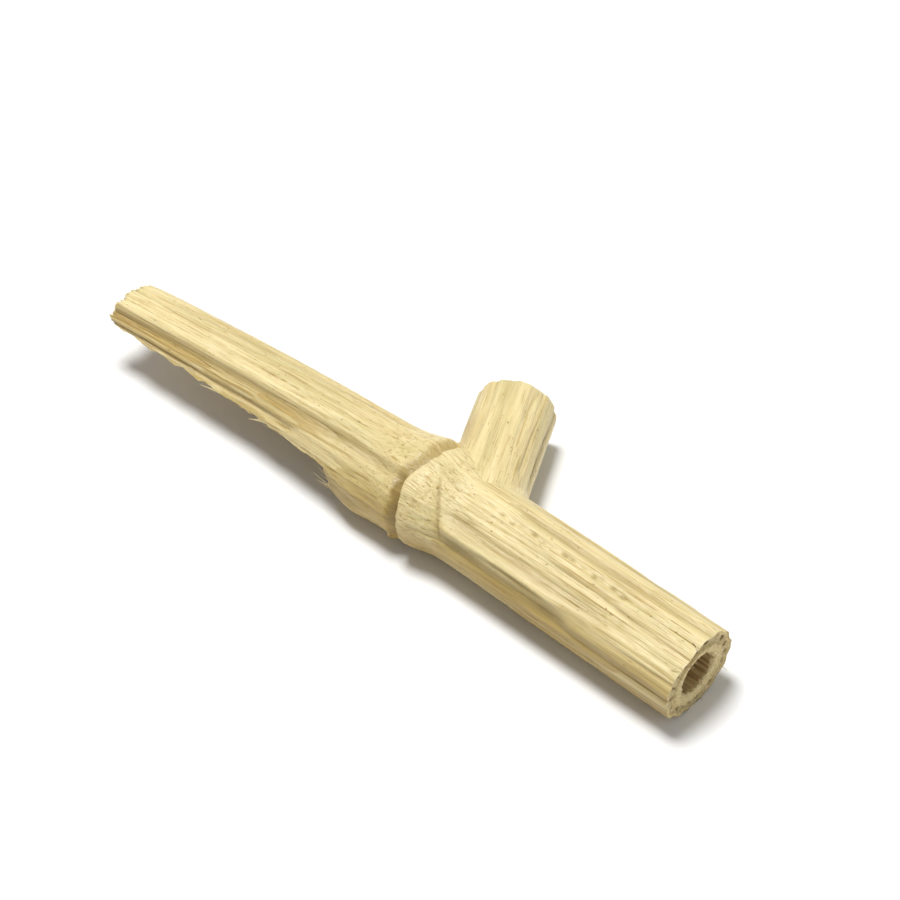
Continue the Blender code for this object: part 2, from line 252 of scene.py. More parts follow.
# The hollows
RIGHT_BORE = 0.60
LEFT_BORE = 0.70
RIGHT_BORE_SEED = 71
LEFT_BORE_SEED = 91
BORE_LOBES = 3
BORE_LOBE_DEPTH = 0.05
BORE_LOBE_ANGLE = 40.0
BORE_RELIEF = ((40, 1.6, 0.025), (6, 0.8, 0.03))
BORE_FIRST = 0.10
BORE_END = 1.1
BORE_CROWDED = 1.4
DOME_DEPTH = 0.5
DIAPHRAGM = 0.55
DIAPHRAGM_RAMP = 1.7
DIAPHRAGM_CROWDED = 1.5
DIAPHRAGM_HOLE = 0.05
HOLLOW_FIBRES = ((110, 1.5, 0.012),)
THINNEST_WALL = 0.10

# The cut wall, in shares of its thickness from the hollow (0) to the skin (1)
CUT_EDGE = 0.012
CUT_GRAIN = ((90, 1 / 12, 0.016), (8, 1 / 3, 0.020))
CELLS = ((130, 1 / 22, 1.0),)
CELL_HEIGHT = 0.012
CELL_DARK = 0.09
CORTEX_SPAN = (0.46, 0.05, 0.90, 0.05)
CORTEX_DEPTH = 0.045
CORTEX_DARK = 0.17
CORE_EDGE = 0.44
CORE_EDGE_WIDTH = 0.035
CORE_EDGE_HEIGHT = 0.035
CORE_EDGE_PALE = 0.2
BUNDLES = 17
BUNDLE_PLACE = 0.30
BUNDLE_WIDTHS = (0.22, 0.07)
BUNDLE_HEIGHT = 0.03
PITH_FRAYED = 0.14
PITH_DEPTH = 0.12
PITH_CELLS = 52
PITH_DARK = 0.15
PITH_DARK_END = 0.2
RIM_START = 0.95
RIM_DROP = 0.03

# The ring of gaps in the cut wall
GAPS = 19
GAP_SHIFT = 0.40
GAP_SHIFT_CELLS = 8
GAP_HALF_WIDTH = 0.16
GAP_WIDENING = 2 / 3
GAP_MIDDLE = 0.5
GAP_PRESENT = 0.75
GAP_SIZES = (0.6, 0.4)
GAP_LEAST = 0.15
GAP_EDGE = 0.10
GAP_ENDS = (0.52, 0.82)
GAP_END_UNEVEN = 0.07
GAP_END_RAMP = 0.06
GAP_DEPTH = 0.22

# The broken wall: its lips as angles at the break and at the tip, and the columns on them
BREAK_START = -2.40
BREAK_SLANT = 0.65
BREAK_RAMPS = (55.0, 40.0)
BREAK_WAVE = 0.06
BREAK_WAVES = 9
BREAK_SPLINTER = 0.40
BREAK_SPLINTER_CELLS = 70
FRONT_LIP = (81.0, 65.0)
BACK_LIP = (188.0, 320.0)
BACK_LIP_POWER = 1.5
FRONT_COLUMN = 59
BACK_COLUMN = 138

# Teeth of the lips: a wave, long teeth and short teeth, as (height in degrees, length)
FRONT_TEETH = ((1.5, 1.7), (2.6, 0.95), (1.2, 0.31))
BACK_TEETH = ((3.0, 1.9), (-5.0, 1.2), (-2.0, 0.35))
TEETH_START = 0.35
TEETH_CALMER = 0.6
TOOTH_END = 0.22
TOOTH_SPREAD = 24.0
TOOTH_SHIFT = 0.4
TOOTH_SHIFT_RUN = 2.3
TOOTH_HEIGHTS = (0.55, 0.45)

# The ragged tip, with its nicks as (cells around, depth, seed)
TIP_RAGGED = 0.09
TIP_CELLS = 13
TIP_NICKS = ((50, 0.07, 16), (120, 0.06, 20))
TIP_START = 0.88

# Unevenness of the torn faces, as (strength, turn or length, wall layers)
SHAKES_ALONG = ((0.10, 3.0, 1.5), (0.04, 1.5, 0.9))
SHAKES_AROUND = ((2.0, 1.1, 1.3), (1.0, 0.34, 0.8))

# The side shoot
SHOOT_X = 1.75
SHOOT_TURN = math.radians(117.0)
SHOOT_FORWARD = (math.cos(SHOOT_TURN), math.sin(SHOOT_TURN))
SHOOT_LENGTH = 4.3
SHOOT_RADIUS = 1.12
SHOOT_TAPER = 0.03
SHOOT_END_HEIGHT = 1.05
SHOOT_BORE = 0.42
SHOOT_BORE_START = 2.5
SHOOT_BORE_POWER = 4
SHOOT_FILLET = 0.42
SHOOT_ROOT = ((0.22, 0.12), (0.08, 0.02))
SHOOT_EDGE = 0.035
SHOOT_SETTLING = 0.9
# Painted shade on one flank of the shoot near the stem
SHOOT_PAINTED_SHADE = 0.6
SHOOT_PAINTED_SHADE_SPAN = (25.0, 30.0, 125.0, 30.0)
SHOOT_PAINTED_SHADE_END = 3.6
SHOOT_GRAIN_SHIFT = 20.0
SHOOT_RELIEF_SHIFT = 3.0
FOOT_RELIEF = (0.1, 1.0)
FOOT_DARK = (0.2, 1.0)
FORK_RAMP = (1.4, 0.7)
FORK_RELIEF = (0.3, 1.0)
FORK_OVERLAP = 0.02
FORK_FARTHEST = 2.6
FORK_HALVINGS = 24

# Middles of the closed ends, along the stem or the shoot
RIGHT_HUB = 0.2
LEFT_HUB = 0.15
SHOOT_HUB = 0.6
SHOOT_BORE_HUB = 2.35

# Mesh steps
RIGHT_COLUMNS = 288
RIGHT_ROWS = 206
RIGHT_ROWS_CROWDED = 0.4
LEFT_COLUMNS = 264
LEFT_ROWS = 236
LEFT_ROWS_CROWDED = 0.35
WALL_LAYERS = 12
SHOOT_COLUMNS = 240
SHOOT_ROWS = 100
FILLET_ROWS = 26
FACE_RINGS = 36
BORE_RINGS = 40
SHOOT_BORE_RINGS = 12
DOME_RINGS = 6
FIBRE_SIDES = 6
FIBRE_RINGS = 9

# Loose fibres. Runs, depths and breadths are (least, most), turns and lifts are (mean, deviation)
FIBRE_TORN = 0.9
FIBRE_THIN = 0.8
FIBRE_TAPER_POWER = 1.5
FIBRE_POWERS = (1.6, 2.0)

# Fibres at the lips of the torn wall
LIP_FIBRES = dict(count=70, longest=1.0, breadths=(0.008, 0.018))
LIP_SPLINTERS = dict(count=26, longest=2.4, breadths=(0.030, 0.060))
LIP_X = (-9.3, -2.4)
LIP_ON_FRONT = 0.6
LIP_INSIDE_FRONT = (2, 7)
LIP_INSIDE_BACK = (3, 9)
LIP_RUNS = (0.25, 1.0)
LIP_RUN_POWER = 1.5
LIP_FARTHEST = -9.9
LIP_TURN = (5, 5)
LIP_LIFT = (-0.03, 0.06)
LIP_DEPTHS = (0.04, 0.26)
LIP_THICKEST = 0.018

# Tufts of fibres on the break's step, the tip and the cut end
STEP_TUFT = dict(
    count=46, x=-1.1, angles=(84, 186), direction=-1, runs=(0.75, 1.7), turn=(0, 6),
    lift=(-0.02, 0.05), breadths=(0.010, 0.035), thickness=0.014,
)
TIP_TUFT = dict(
    count=26, x=-9.55, angles=(-36, 62), direction=-1, runs=(0.45, 0.72), turn=(0, 4),
    lift=(0, 0.04), breadths=(0.010, 0.026), thickness=0.012,
)
CUT_TUFT = dict(
    count=30, x=9.1, angles=(0, 360), direction=1, runs=(0.26, 0.40), turn=(0, 6),
    lift=(0, 0.05), breadths=(0.008, 0.016), thickness=0.010,
)
STEP_SKIN_X = -1.8
STEP_DEPTHS = (0.06, 0.36)
TIP_SKIN_X = -9.7
TIP_DEPTHS = (0.08, 0.28)
CUT_SHARES = (0.05, 0.93)

# Straw colours, linear
BLACK = (0.0, 0.0, 0.0, 1.0)
WHITE = (1.0, 1.0, 1.0, 1.0)
CREAM = (0.86, 0.73, 0.40, 1.0)
STRAW = (0.74, 0.605, 0.29, 1.0)
OCHRE = (0.58, 0.425, 0.165, 1.0)
GREENISH = (0.56, 0.49, 0.21, 1.0)
# Colour of painted shade in furrows, creases and pits, and of the scar's dark tissue
OLIVE_SHADE_AND_TISSUE = (0.34, 0.24, 0.08, 1.0)
BROWN = (0.32, 0.19, 0.06, 1.0)
# Colour of painted shade in the cut wall's gaps, and of its darker tissue
DARK_SHADE_AND_TISSUE = (0.10, 0.055, 0.022, 1.0)
PITH = (0.80, 0.66, 0.40, 1.0)
TAN = (0.52, 0.37, 0.18, 1.0)
# Browns of staining, also used as painted shade on the flanks
STAIN_AND_SHADE_BROWN = (0.32, 0.185, 0.028, 1.0)
WARM_STAIN_AND_SHADE = (0.49, 0.32, 0.055, 1.0)

# Colours along a noise, as (place, colour)
BROAD_RAMP = ((0.30, OCHRE), (0.44, STRAW), (0.58, CREAM), (0.74, STRAW))
TONE_RAMP = ((0.30, OCHRE), (0.45, STRAW), (0.62, CREAM))
GREEN_RAMP = ((0.48, BLACK), (0.66, WHITE))
STAIN_AND_SHADE_RAMP = ((0.32, STAIN_AND_SHADE_BROWN), (0.60, WARM_STAIN_AND_SHADE))
HOLLOW_RAMP = ((0.30, BROWN), (0.50, TAN), (0.70, STRAW))
TORN_RAMP = ((0.30, TAN), (0.48, STRAW), (0.62, PITH))

# Grain of the colours, as (length, width, detail, seed). The shifts say where a seed moves it
BROAD_GRAIN = (5.0, 1.1, 2.0, 3.0)
STREAK_GRAIN = (3.2, 0.10, 3.0, 11.0)
FIBRE_GRAIN = (1.3, 0.035, 2.0, 23.0)
GREEN_GRAIN = (4.0, 0.5, 1.0, 51.0)
GRAIN_ROUGHNESS = 0.6
GRAIN_SHIFTS = (1.0, 1.7, 0.6)

# Fibres, veins and specks that darken the skin, as (grain, shade, dark below, clear above, strength)
DARK_MARKS = (
    (FIBRE_GRAIN, (0.62, 0.52, 0.36, 1.0), 0.32, 0.47, 0.65),
    ((7.0, 0.075, 1.0, 67.0), (0.60, 0.47, 0.28, 1.0), 0.30, 0.37, 0.7),
    ((0.16, 0.07, 1.0, 37.0), (0.42, 0.30, 0.18, 1.0), 0.24, 0.31, 0.8),
)

# How strongly each colour shows
CONTRAST = 1.12
PALER_CONTRAST = 0.5
TONE_SHOWS = 0.55
GREEN_SHOWS = 0.40
STAIN_AND_SHADE_SHOWS = 0.85
PEEL_AND_HIGHLIGHT_SHOWS = 0.7
SHADE_AND_DARK_TISSUE_SHOWS = 0.72

# The skin's finish
ROUGHNESS = 0.20
STREAK_ROUGHNESS = 0.35
TORN_ROUGHNESS = 0.35
FINISH = {
    "Specular IOR Level": 0.45,
    "Subsurface Weight": 0.12,
    "Subsurface Radius": (1.0, 0.6, 0.3),
    "Subsurface Scale": 0.35 * MM,
}
BUMP_STREAKS = 1.6
BUMP_STRENGTH = 0.65
BUMP_HEIGHT = 0.026

# Camera, light and floor. A light is (direction, distance and size in metres, watts)
VIEW_AZIMUTH = 42.0
VIEW_ELEVATION = 48.0
LENS = 200.0
SENSOR = 36.0
FRAME_WIDTH = 23.6
CLIP = (0.01, 5.0)
LIGHTS = {
    "key": ((-0.24, 0.05, 1.0), 0.30, 0.11, 0.90),
    "fill": ((0.95, 0.2, 0.6), 0.35, 0.25, 0.12),
}
SKY_STRENGTH = 0.30
FLOOR_SIZE = 600.0
FLOOR_COLOUR = (0.87, 0.87, 0.865, 1.0)
FLOOR_ROUGHNESS = 0.8


def sine(angle):
    return np.sin(np.radians(angle))


def cosine(angle):
    return np.cos(np.radians(angle))


def smooth(value):
    share = np.clip(value, 0, 1)
    return share * share * (3 - 2 * share)


def rise(value, start, ramp):
    """0 up to start, then smoothly up to 1 over the ramp."""
    return smooth((value - start) / ramp)


def fall(value, end, ramp):
    """0 from end on, and smoothly down from 1 over the ramp before it."""
    return smooth((end - value) / ramp)


def window(value, start, ramp_up, end, ramp_down):
    return rise(value, start, ramp_up) * fall(value, end, ramp_down)


def bell(offset, width):
    return np.exp(-((offset / width) ** 2))


def between(pair, share):
    return pair[0] + (pair[1] - pair[0]) * share


def hump(offset, height, width):
    return height * bell(offset, width)


def turn_between(angle, centre):
    """Signed angle from centre to angle, within half a turn."""
    return (angle - centre + 180) % 360 - 180


def lobe(angle, centre, width):
    return bell(turn_between(angle, centre), width)


def lattice(column, row, seed):
    """A fixed random value from -1 to 1 for each lattice point."""
    by_column, by_row, by_seed, spread = MIXING
    mixed = np.sin(column * by_column + row * by_row + seed * by_seed) * spread
    return 2 * (mixed - np.floor(mixed)) - 1


def noise(u, v, seed, wrap=0):
    """Smooth noise from -1 to 1 with unit cells. v repeats after wrap cells if wrap is given."""
    u, v = np.broadcast_arrays(np.asarray(u, float), np.asarray(v, float))
    left, low = np.floor(u), np.floor(v)
    across, up = smooth(u - left), smooth(v - low)
    low_row = low % wrap if wrap else low
    high_row = (low + 1) % wrap if wrap else low + 1
    bottom = lattice(left, low_row, seed) * (1 - across) + lattice(left + 1, low_row, seed) * across
    top = lattice(left, high_row, seed) * (1 - across) + lattice(left + 1, high_row, seed) * across
    return bottom * (1 - up) + top * up


def streaks(x, angle, cells, run, seed):
    """Noise drawn out lengthwise: cells around the stem, each about run long."""
    return noise(x / run, angle / 360 * cells, seed, cells)


def fringe(angle, cells, seed):
    """Noise that changes around the stem alone."""
    return streaks(0.0, angle, cells, 1.0, seed)


def layered(x, angle, layers, seed):
    """Streaks of several sizes added up, each with a seed of its own."""
    total = 0.0
    for number, (cells, run, strength) in enumerate(layers):
        total = total + strength * streaks(x, angle, cells, run, seed + number)
    return total


def tooth_height(tooth, seed):
    mean, varied = TOOTH_HEIGHTS
    return mean + varied * lattice(tooth, 0.0, seed)


def splinters(x, run, seed):
    """A saw-tooth of uneven teeth from -1 to 1: each tooth grows slowly and ends soon."""
    along = x / run + TOOTH_SHIFT * noise(x / (TOOTH_SHIFT_RUN * run), 0.0, seed)
    tooth = np.floor(along)
    ending = smooth((along - tooth - 1 + TOOTH_END) / TOOTH_END)
    grown = tooth_height(tooth, seed + 1) * (2 * (along - tooth) - 1)
    return grown * (1 - ending) - tooth_height(tooth + 1, seed + 1) * ending


def share_left(x):
    return np.clip(-x / LEFT_LENGTH, 0, None)


def bend_at(x):
    return -TIP_BEND * share_left(x) ** BEND_POWER


def around_axis(x, angle, radius):
    """Points at an angle and a distance from the stem's axis, kept on or above the floor."""
    height = AXIS_HEIGHT - TIP_SAG * share_left(x)
    y = bend_at(x) - sine(angle) * radius
    z = np.maximum(height + cosine(angle) * radius, 0.0)
    return np.stack(np.broadcast_arrays(x, y, z), axis=-1)


def scar_line(angle):
    """Where the leaf scar crosses the stem: a ragged V that points at the tip on the front."""
    aside = turn_between(angle, SCAR_POINT_ANGLE)
    spread = SCAR_SPREAD + SCAR_UNEVEN * sine(aside)
    line = SCAR_POINT + spread * (1 - np.exp(-np.abs(aside) / SCAR_TURN))
    return line + SCAR_RAGGED * layered(0.0, angle, SCAR_RAGS, seed=3)


def lower_arm(angle):
    """0 on the scar's upper arm and 1 on its lower arm, which is narrow, deep and dark."""
    below_point = smooth(0.5 + turn_between(angle, SCAR_POINT_ANGLE) / LOWER_ARM_BLEND)
    return below_point * fall(turn_between(angle, 0.0), *LOWER_ARM_FALL)


def past_ring(x, angle):
    """How far x lies past the faint ring at the end of the swollen node, in mm."""
    return x - RING_START - RING_SLOPE * turn_between(angle, SCAR_POINT_ANGLE)


def sheath_height(past):
    """How far the sheath still stands over the skin, this far past the scar."""
    return SHEATH_STEP * np.exp(-np.clip(past, 0, None) / SHEATH_FADE)


def furrow_depth(x, angle, furrows):
    depth = 0.0
    for number, (centre, deep, width, start, end) in enumerate(furrows):
        drift = FURROW_DRIFT * np.sin(x / FURROW_WAVE + FURROW_PHASE * number)
        length = window(x, start, FURROW_RAMP, end, FURROW_RAMP)
        depth = depth + deep * length * lobe(angle, centre + drift, width)
    return depth


def crest_height(x, angle):
    """The crest along the lower front, steep on its lower side."""
    drift = CREST_DRIFT * np.cos(CREST_WAVES * (x - CREST_WAVES_START))
    aside = turn_between(angle, CREST_ANGLE + drift)
    profile = np.where(aside < 0, bell(aside, CREST_WIDTHS[0]), bell(aside, CREST_WIDTHS[1]))
    lowered = 1 - CREST_LOWER * rise(x, *CREST_LOWER_RAMP)
    return CREST_HEIGHT * profile * rise(past_ring(x, angle), *CREST_RAMP) * lowered


def root_distances(x, angle):
    """The distance over the skin to each root scar."""
    for scar_x, scar_angle in ROOT_SCARS:
        sideways = np.radians(turn_between(angle, scar_angle)) * NODE_RADIUS
        yield np.hypot(x - scar_x, sideways)


def root_scars(x, angle):
    """Small craters where thin roots came off."""
    relief = 0.0
    for away in root_distances(x, angle):
        rim = hump(away - ROOT_SCAR_RADIUS, *ROOT_SCAR_RIM)
        relief = relief + rim - hump(away, *ROOT_SCAR_PIT)
    return relief


def root_stain(x, angle):
    """Brown marks on and around the root scars."""
    return sum(hump(away, *ROOT_STAIN) for away in root_distances(x, angle))


def pits(x, angle):
    """The row of small pits, uneven in place and size."""
    relief = 0.0
    for number in range(PIT_COUNT):
        wander, turning = (math.sin(wave * number) for wave in PIT_WAVES)
        centre = PIT_FIRST + PIT_STEP * number + PIT_SHIFT * wander
        sideways = np.radians(turn_between(angle, PIT_ANGLE + PIT_TURN * turning)) * NODE_RADIUS
        away = np.hypot((x - centre) / PIT_LENGTHENED, sideways)
        relief = relief + PIT_DEPTH * (1 - PIT_UNEVEN + PIT_UNEVEN * wander) * bell(away, PIT_RADIUS)
    return relief


def fork_fade(x, angle):
    """0 where the side shoot has grown over the stem, 1 away from it."""
    y, z = -sine(angle) * NODE_RADIUS, cosine(angle) * NODE_RADIUS
    along = (x - SHOOT_X) * SHOOT_FORWARD[0] + y * SHOOT_FORWARD[1]
    away = np.sqrt(np.clip((x - SHOOT_X) ** 2 + y**2 + z**2 - along**2, 0, None))
    return np.where(along > 0, rise(away, *FORK_RAMP), 1.0)


def flattened(radius, mean, angle, flat, share):
    """The radius with a face dried flat, as far as share says."""
    flat_angle, depth, width = flat
    return radius - mean * depth * share * lobe(angle, flat_angle, width)


def body_radius(x, angle, right):
    """The stem without its fine relief, on the right or the left of the scar."""
    narrowing = (TIP_RADIUS - NODE_RADIUS) * share_left(x) ** TIP_TAPER
    mean = NODE_RADIUS + narrowing + (CUT_RADIUS - NODE_RADIUS) * np.clip(x / RIGHT_LENGTH, 0, None)
    radius = mean * (1 - OVAL * cosine(2 * angle))
    flatness = rise(np.abs(x), *FLAT_RAMP)
    radius = flattened(radius, mean, angle, RIGHT_FLAT if right else LEFT_FLAT, flatness)
    if right:
        swelling = np.exp(-((np.abs(x) / NODE_REACH_RIGHT) ** NODE_SHOULDER))
    else:
        radius = flattened(radius, mean, angle, LEFT_SIDE, rise(-x, *LEFT_SIDE_RAMP))
        swelling = bell(x, NODE_REACH_LEFT)
    underside = 1 - UNDERSIDE_LESS * lobe(angle, *UNDERSIDE_LOBE)
    radius = radius + NODE_SWELLING * swelling * underside
    splay = bell(x - SPLAY_X, SPLAY_REACH) * lobe(angle, *SPLAY_LOBE)
    return radius + SPLAY * splay + root_scars(x, angle)


def creases(x, angle, seed):
    """Fine valleys that wander lengthwise, join and part: 1 at their bottom, 0 between them."""
    total = 0.0
    for number, (cells, run, strength) in enumerate(CREASES):
        valley = 1 - np.abs(streaks(x, angle, cells, run, seed + number))
        total = total + strength * valley**CREASE_SHARPNESS
    return total


def fine_relief(x, angle, seed):
    """Height of the dried skin's ribs and grain, and the share of its fine creases."""
    near_node = bell(x, NODE_RELIEF_REACH)
    crease = creases(x, angle, seed) * (1 - NODE_CREASES_LESS * near_node)
    seed = seed + len(CREASES)
    relief = layered(x, angle, SKIN_RELIEF, seed)
    relief = relief + near_node * layered(x, angle, NODE_RELIEF, seed + len(SKIN_RELIEF))
    return relief - CREASE_DEPTH * crease, np.clip(crease, 0, 1)


def flaking(x, angle, seed):
    """1 where the outermost skin has come off in long narrow flakes."""
    return rise(layered(x, angle, FLAKES, seed), *FLAKE_EDGE)


def flank_stain_and_shade(x, angle):
    """The browner flank below the front: partly brown staining, partly painted shade."""
    length, width = FLANK_CELL
    uneven = FLANK_UNEVEN * noise(x / length, angle / width, seed=26)
    return window(angle, *FLANK_SPAN) * (FLANK_STAIN_AND_SHADE + uneven)


def right_skin(x, angle):
    """Radius and masks of the node and the whole internode."""
    open_skin = fork_fade(x, angle)
    shown = between(FORK_RELIEF, open_skin)
    past = x - scar_line(angle)
    furrow = furrow_depth(x, angle, RIGHT_FURROWS) * open_skin
    holes = pits(x, angle)
    ring = window(angle, *RING_SPAN) * bell(past_ring(x, angle), RING_WIDTH)
    fine, crease = fine_relief(x, angle, seed=40)
    # Painted shade in furrows, pits and creases, and the ring's darker line
    groove = furrow / RIGHT_FURROW_DARK + holes / PIT_DARK + CREASE_DARK * crease + RING_DARK * ring
    groove = np.clip(groove, 0, 1)
    flakes = flaking(x, angle, seed=21) * rise(x, *FLAKES_RAMP)
    flakes = flakes * open_skin * (1 - groove)
    crest = crest_height(x, angle)
    # The crest is painted paler as a painted highlight, in the mask of peeled skin, and the flank's painted
    # shade leaves it out
    pale = CREST_HIGHLIGHT * crest / CREST_HEIGHT
    # Before the ring the flank's staining and painted shade start lower on the stem
    before_ring = fall(past_ring(x, angle), 0.0, RING_SHADE_RAMP)
    shade = flank_stain_and_shade(x, angle - RING_SHADE_TURN * before_ring) * (1 - pale)
    radius = body_radius(x, angle, True) + crest + sheath_height(past) * shown
    radius = radius - furrow + fine * shown - FLAKE_DEPTH * flakes - holes - RING_DEPTH * ring
    # Staining at the lip and root scars, and the flank's staining and painted shade
    stain_and_shade = shade + hump(past, *LIP_STAIN) + root_stain(x, angle)
    return radius, dict(groove=groove, peel_and_highlight=np.maximum(flakes, pale), stain_and_shade=np.clip(stain_and_shade, 0, 1))


def scar_masks(x, angle, across, lower):
    """Darkness and staining of the scar's bed, streaked lengthwise: its own darker colour, with painted shade
    in its furrow. across is -1 to 0 over its width.
    """
    blurred = across + layered(x, angle, SCAR_BLUR, seed=27)
    streaked = SCAR_STREAK_MEAN + layered(x, angle, SCAR_STREAKS, seed=28)
    fade = 1 - SCAR_FADE * rise(angle, *SCAR_FADE_RAMP)
    dark = between(SCAR_DARK, lower) * rise(blurred, *SCAR_DARK_RAMP) * fade * streaked
    return dark, between(SCAR_STAIN, lower) * rise(blurred, *SCAR_STAIN_RAMP)


def left_skin(x, angle):
    """Radius and masks of the broken internode."""
    furrow = furrow_depth(x, angle, LEFT_FURROWS)
    lower = lower_arm(angle)
    across = (x - scar_line(angle)) / between(SCAR_WIDTH, lower)
    dark, scar_stain = scar_masks(x, angle, across, lower)
    fine, crease = fine_relief(x, angle, seed=60)
    groove = np.clip(furrow / FURROW_DARK + dark + CREASE_DARK * crease, 0, 1)
    peel_and_highlight = flaking(x, angle, seed=31) * rise(-x, *FLAKES_RAMP) * (1 - groove)
    radius = body_radius(x, angle, False) - furrow - between(SCAR_DEPTH, lower) * smooth(1 + across)
    radius = radius + fine - FLAKE_DEPTH * peel_and_highlight
    # Painted shade along the side just below the top, towards the tip
    side = SIDE_PAINTED_SHADE * rise(-x, *SIDE_PAINTED_SHADE_RAMP) * lobe(angle, *SIDE_PAINTED_SHADE_LOBE)
    stain_and_shade = flank_stain_and_shade(x, angle) + side + scar_stain + root_stain(x, angle)
    return radius, dict(groove=groove, peel_and_highlight=peel_and_highlight, stain_and_shade=np.clip(stain_and_shade, 0, 1))


class Mesh:
    """Vertices in millimetres with their masks, and faces, gathered before the object is made."""

    def __init__(self):
        self.points = []
        self.masks = []
        self.faces = []
        self.rings = []
        self.count = 0

    def add(self, points, **masks):
        """Add an array of points with the same mask values or arrays. Returns their numbers."""
        flat = np.asarray(points, float).reshape(-1, 3)
        columns = [np.broadcast_to(masks.get(name, 0.0), points.shape[:-1]).reshape(-1) for name in MASKS]
        self.points.append(flat)
        self.masks.append(np.stack(columns, axis=-1))
        numbers = np.arange(self.count, self.count + len(flat)).reshape(points.shape[:-1])
        self.count += len(flat)
        return numbers

    def ring(self, points, **masks):
        """Add points as the next of the mesh's rings."""
        self.rings.append(self.add(points, **masks))

    def quads(self, a, b, c, d):
        self.faces.append(np.stack([a, b, c, d], axis=-1).reshape(-1, 4))

    def loft(self, rings):
        """Join rings of vertex numbers into a tube. Returns them as one array."""
        rings = np.array(rings)
        following = np.roll(rings, -1, axis=1)
        self.quads(rings[:-1], following[:-1], following[1:], rings[1:])
        return rings

    def fan(self, ring, point, outward, **masks):
        """Close a ring of vertex numbers with triangles to one more point."""
        hub = np.full(ring.shape, self.add(np.array([point]), **masks)[0])
        following = np.roll(ring, -1)
        self.faces.append(np.stack([ring, following, hub] if outward else [following, ring, hub], axis=-1))

    def close(self, start, end):
        """Join the mesh's rings, and close their torn start and the hollow's end."""
        rings = self.loft(self.rings)
        self.fan(rings[0], start, False, torn=1.0)
        self.fan(rings[-1], end, True, hollow=1.0)

    def used(self):
        """Points and masks of the vertices that faces use, and the faces with their new numbers."""
        used = np.zeros(self.count, bool)
        for faces in self.faces:
            used[faces.reshape(-1)] = True
        renumber = np.cumsum(used) - 1
        faces = [tuple(face) for block in self.faces for face in renumber[block].tolist()]
        return np.concatenate(self.points)[used], np.concatenate(self.masks)[used], faces


def finished_object(mesh, name, grain, material):
    """The gathered mesh as an object in the frame's metres, with its masks and grain."""
    points, masks, faces = mesh.used()
    shifted = (points + np.array([STEM_ORIGIN[0], STEM_ORIGIN[1], 0.0])) * MM
    data = bpy.data.meshes.new(name)
    data.from_pydata(shifted.tolist(), [], faces)
    data.validate()
    for column, mask in enumerate(MASKS):
        layer = data.attributes.new(mask, "FLOAT", "POINT")
        layer.data.foreach_set("value", masks[:, column].astype(np.float32))
    layer = data.attributes.new("grain", "FLOAT_VECTOR", "POINT")
    layer.data.foreach_set("vector", grain(points).astype(np.float32).reshape(-1))
    data.shade_smooth()
    data.set_sharp_from_angle(angle=math.radians(SHARP_ANGLE))
    data.materials.append(material)
    piece = bpy.data.objects.new(name, data)
    bpy.context.scene.collection.objects.link(piece)
    return piece


def stem_grain(points):
    """Along the stem, then across it on two axes, with the bend taken out."""
    straight_y = points[:, 1] - bend_at(points[:, 0])
    return np.stack([points[:, 0], straight_y, points[:, 2] - AXIS_HEIGHT], axis=-1)


def column_angles(columns):
    return np.arange(columns) * 360.0 / columns


def crowded(share, crowding):
    """Shares from 0 to 1, drawn closer together near 0."""
    return (1 - crowding) * share + crowding * share * share


def cut_plane(angle, radius):
    return RIGHT_LENGTH + CUT_SLANT * radius * cosine(angle - CUT_SLANT_ANGLE)


def gap_share(share, angle, seed):
    """1 within the gaps of a cut wall, which differ in width and length, and some of which are missing."""
    spoke = angle / 360 * GAPS + GAP_SHIFT * fringe(angle, GAP_SHIFT_CELLS, seed)
    number = np.round(spoke) % GAPS
    present = smooth(GAP_PRESENT + lattice(number, 0.0, seed + 1))
    size = present * (GAP_SIZES[0] + GAP_SIZES[1] * lattice(number, 1.0, seed + 1))
    half_width = (GAP_HALF_WIDTH + GAP_WIDENING * (share - GAP_MIDDLE)) * np.clip(size, GAP_LEAST, 1.0)
    within = smooth((half_width - np.abs(spoke - np.round(spoke))) / GAP_EDGE)
    inner_end = GAP_ENDS[0] + GAP_END_UNEVEN * lattice(number, 2.0, seed)
    outer_end = GAP_ENDS[1] + GAP_END_UNEVEN * lattice(number, 3.0, seed)
    return within * window(share, inner_end, GAP_END_RAMP, outer_end, GAP_END_RAMP)


def end_grain(share, angle, seed):
    """Relief of a cut wall from its hollow (share 0) to its skin (share 1), and how dark it is: darker
    tissue, and painted shade in its gaps.
    """
    gap = gap_share(share, angle, seed)
    cortex = window(share, *CORTEX_SPAN)
    core_edge = bell(share - CORE_EDGE, CORE_EDGE_WIDTH)
    bundle = bell((angle / 360 * BUNDLES) % 1 - 0.5, BUNDLE_WIDTHS[0])
    bundle = bundle * bell(share - BUNDLE_PLACE, BUNDLE_WIDTHS[1])
    cells = layered(share, angle, CELLS, seed + 5)
    frayed = 0.5 + 0.5 * fringe(angle, PITH_CELLS, seed + 4)
    relief = (
        layered(share, angle, CUT_GRAIN, seed + 2) + CELL_HEIGHT * cells * cortex
        - PITH_DEPTH * fall(share, PITH_FRAYED, PITH_FRAYED) * frayed
        - RIM_DROP * rise(share, RIM_START, 1 - RIM_START)
        + CORE_EDGE_HEIGHT * core_edge + BUNDLE_HEIGHT * bundle - CORTEX_DEPTH * cortex - GAP_DEPTH * gap
    )
    # The gaps are painted dark as painted shade inside them; the cortex and its cells are darker tissue
    dark = (CORTEX_DARK + CELL_DARK * cells) * cortex + gap - CORE_EDGE_PALE * core_edge
    dark = dark + PITH_DARK * fall(share, PITH_DARK_END, PITH_DARK_END)
    return relief, np.clip(dark, 0, 1)


def bore_radius(x, angle, radius, seed):
    lobed = radius * (1 + BORE_LOBE_DEPTH * sine(BORE_LOBES * angle + BORE_LOBE_ANGLE))
    return lobed + sum(layered(x, angle, (layer,), seed) for layer in BORE_RELIEF)


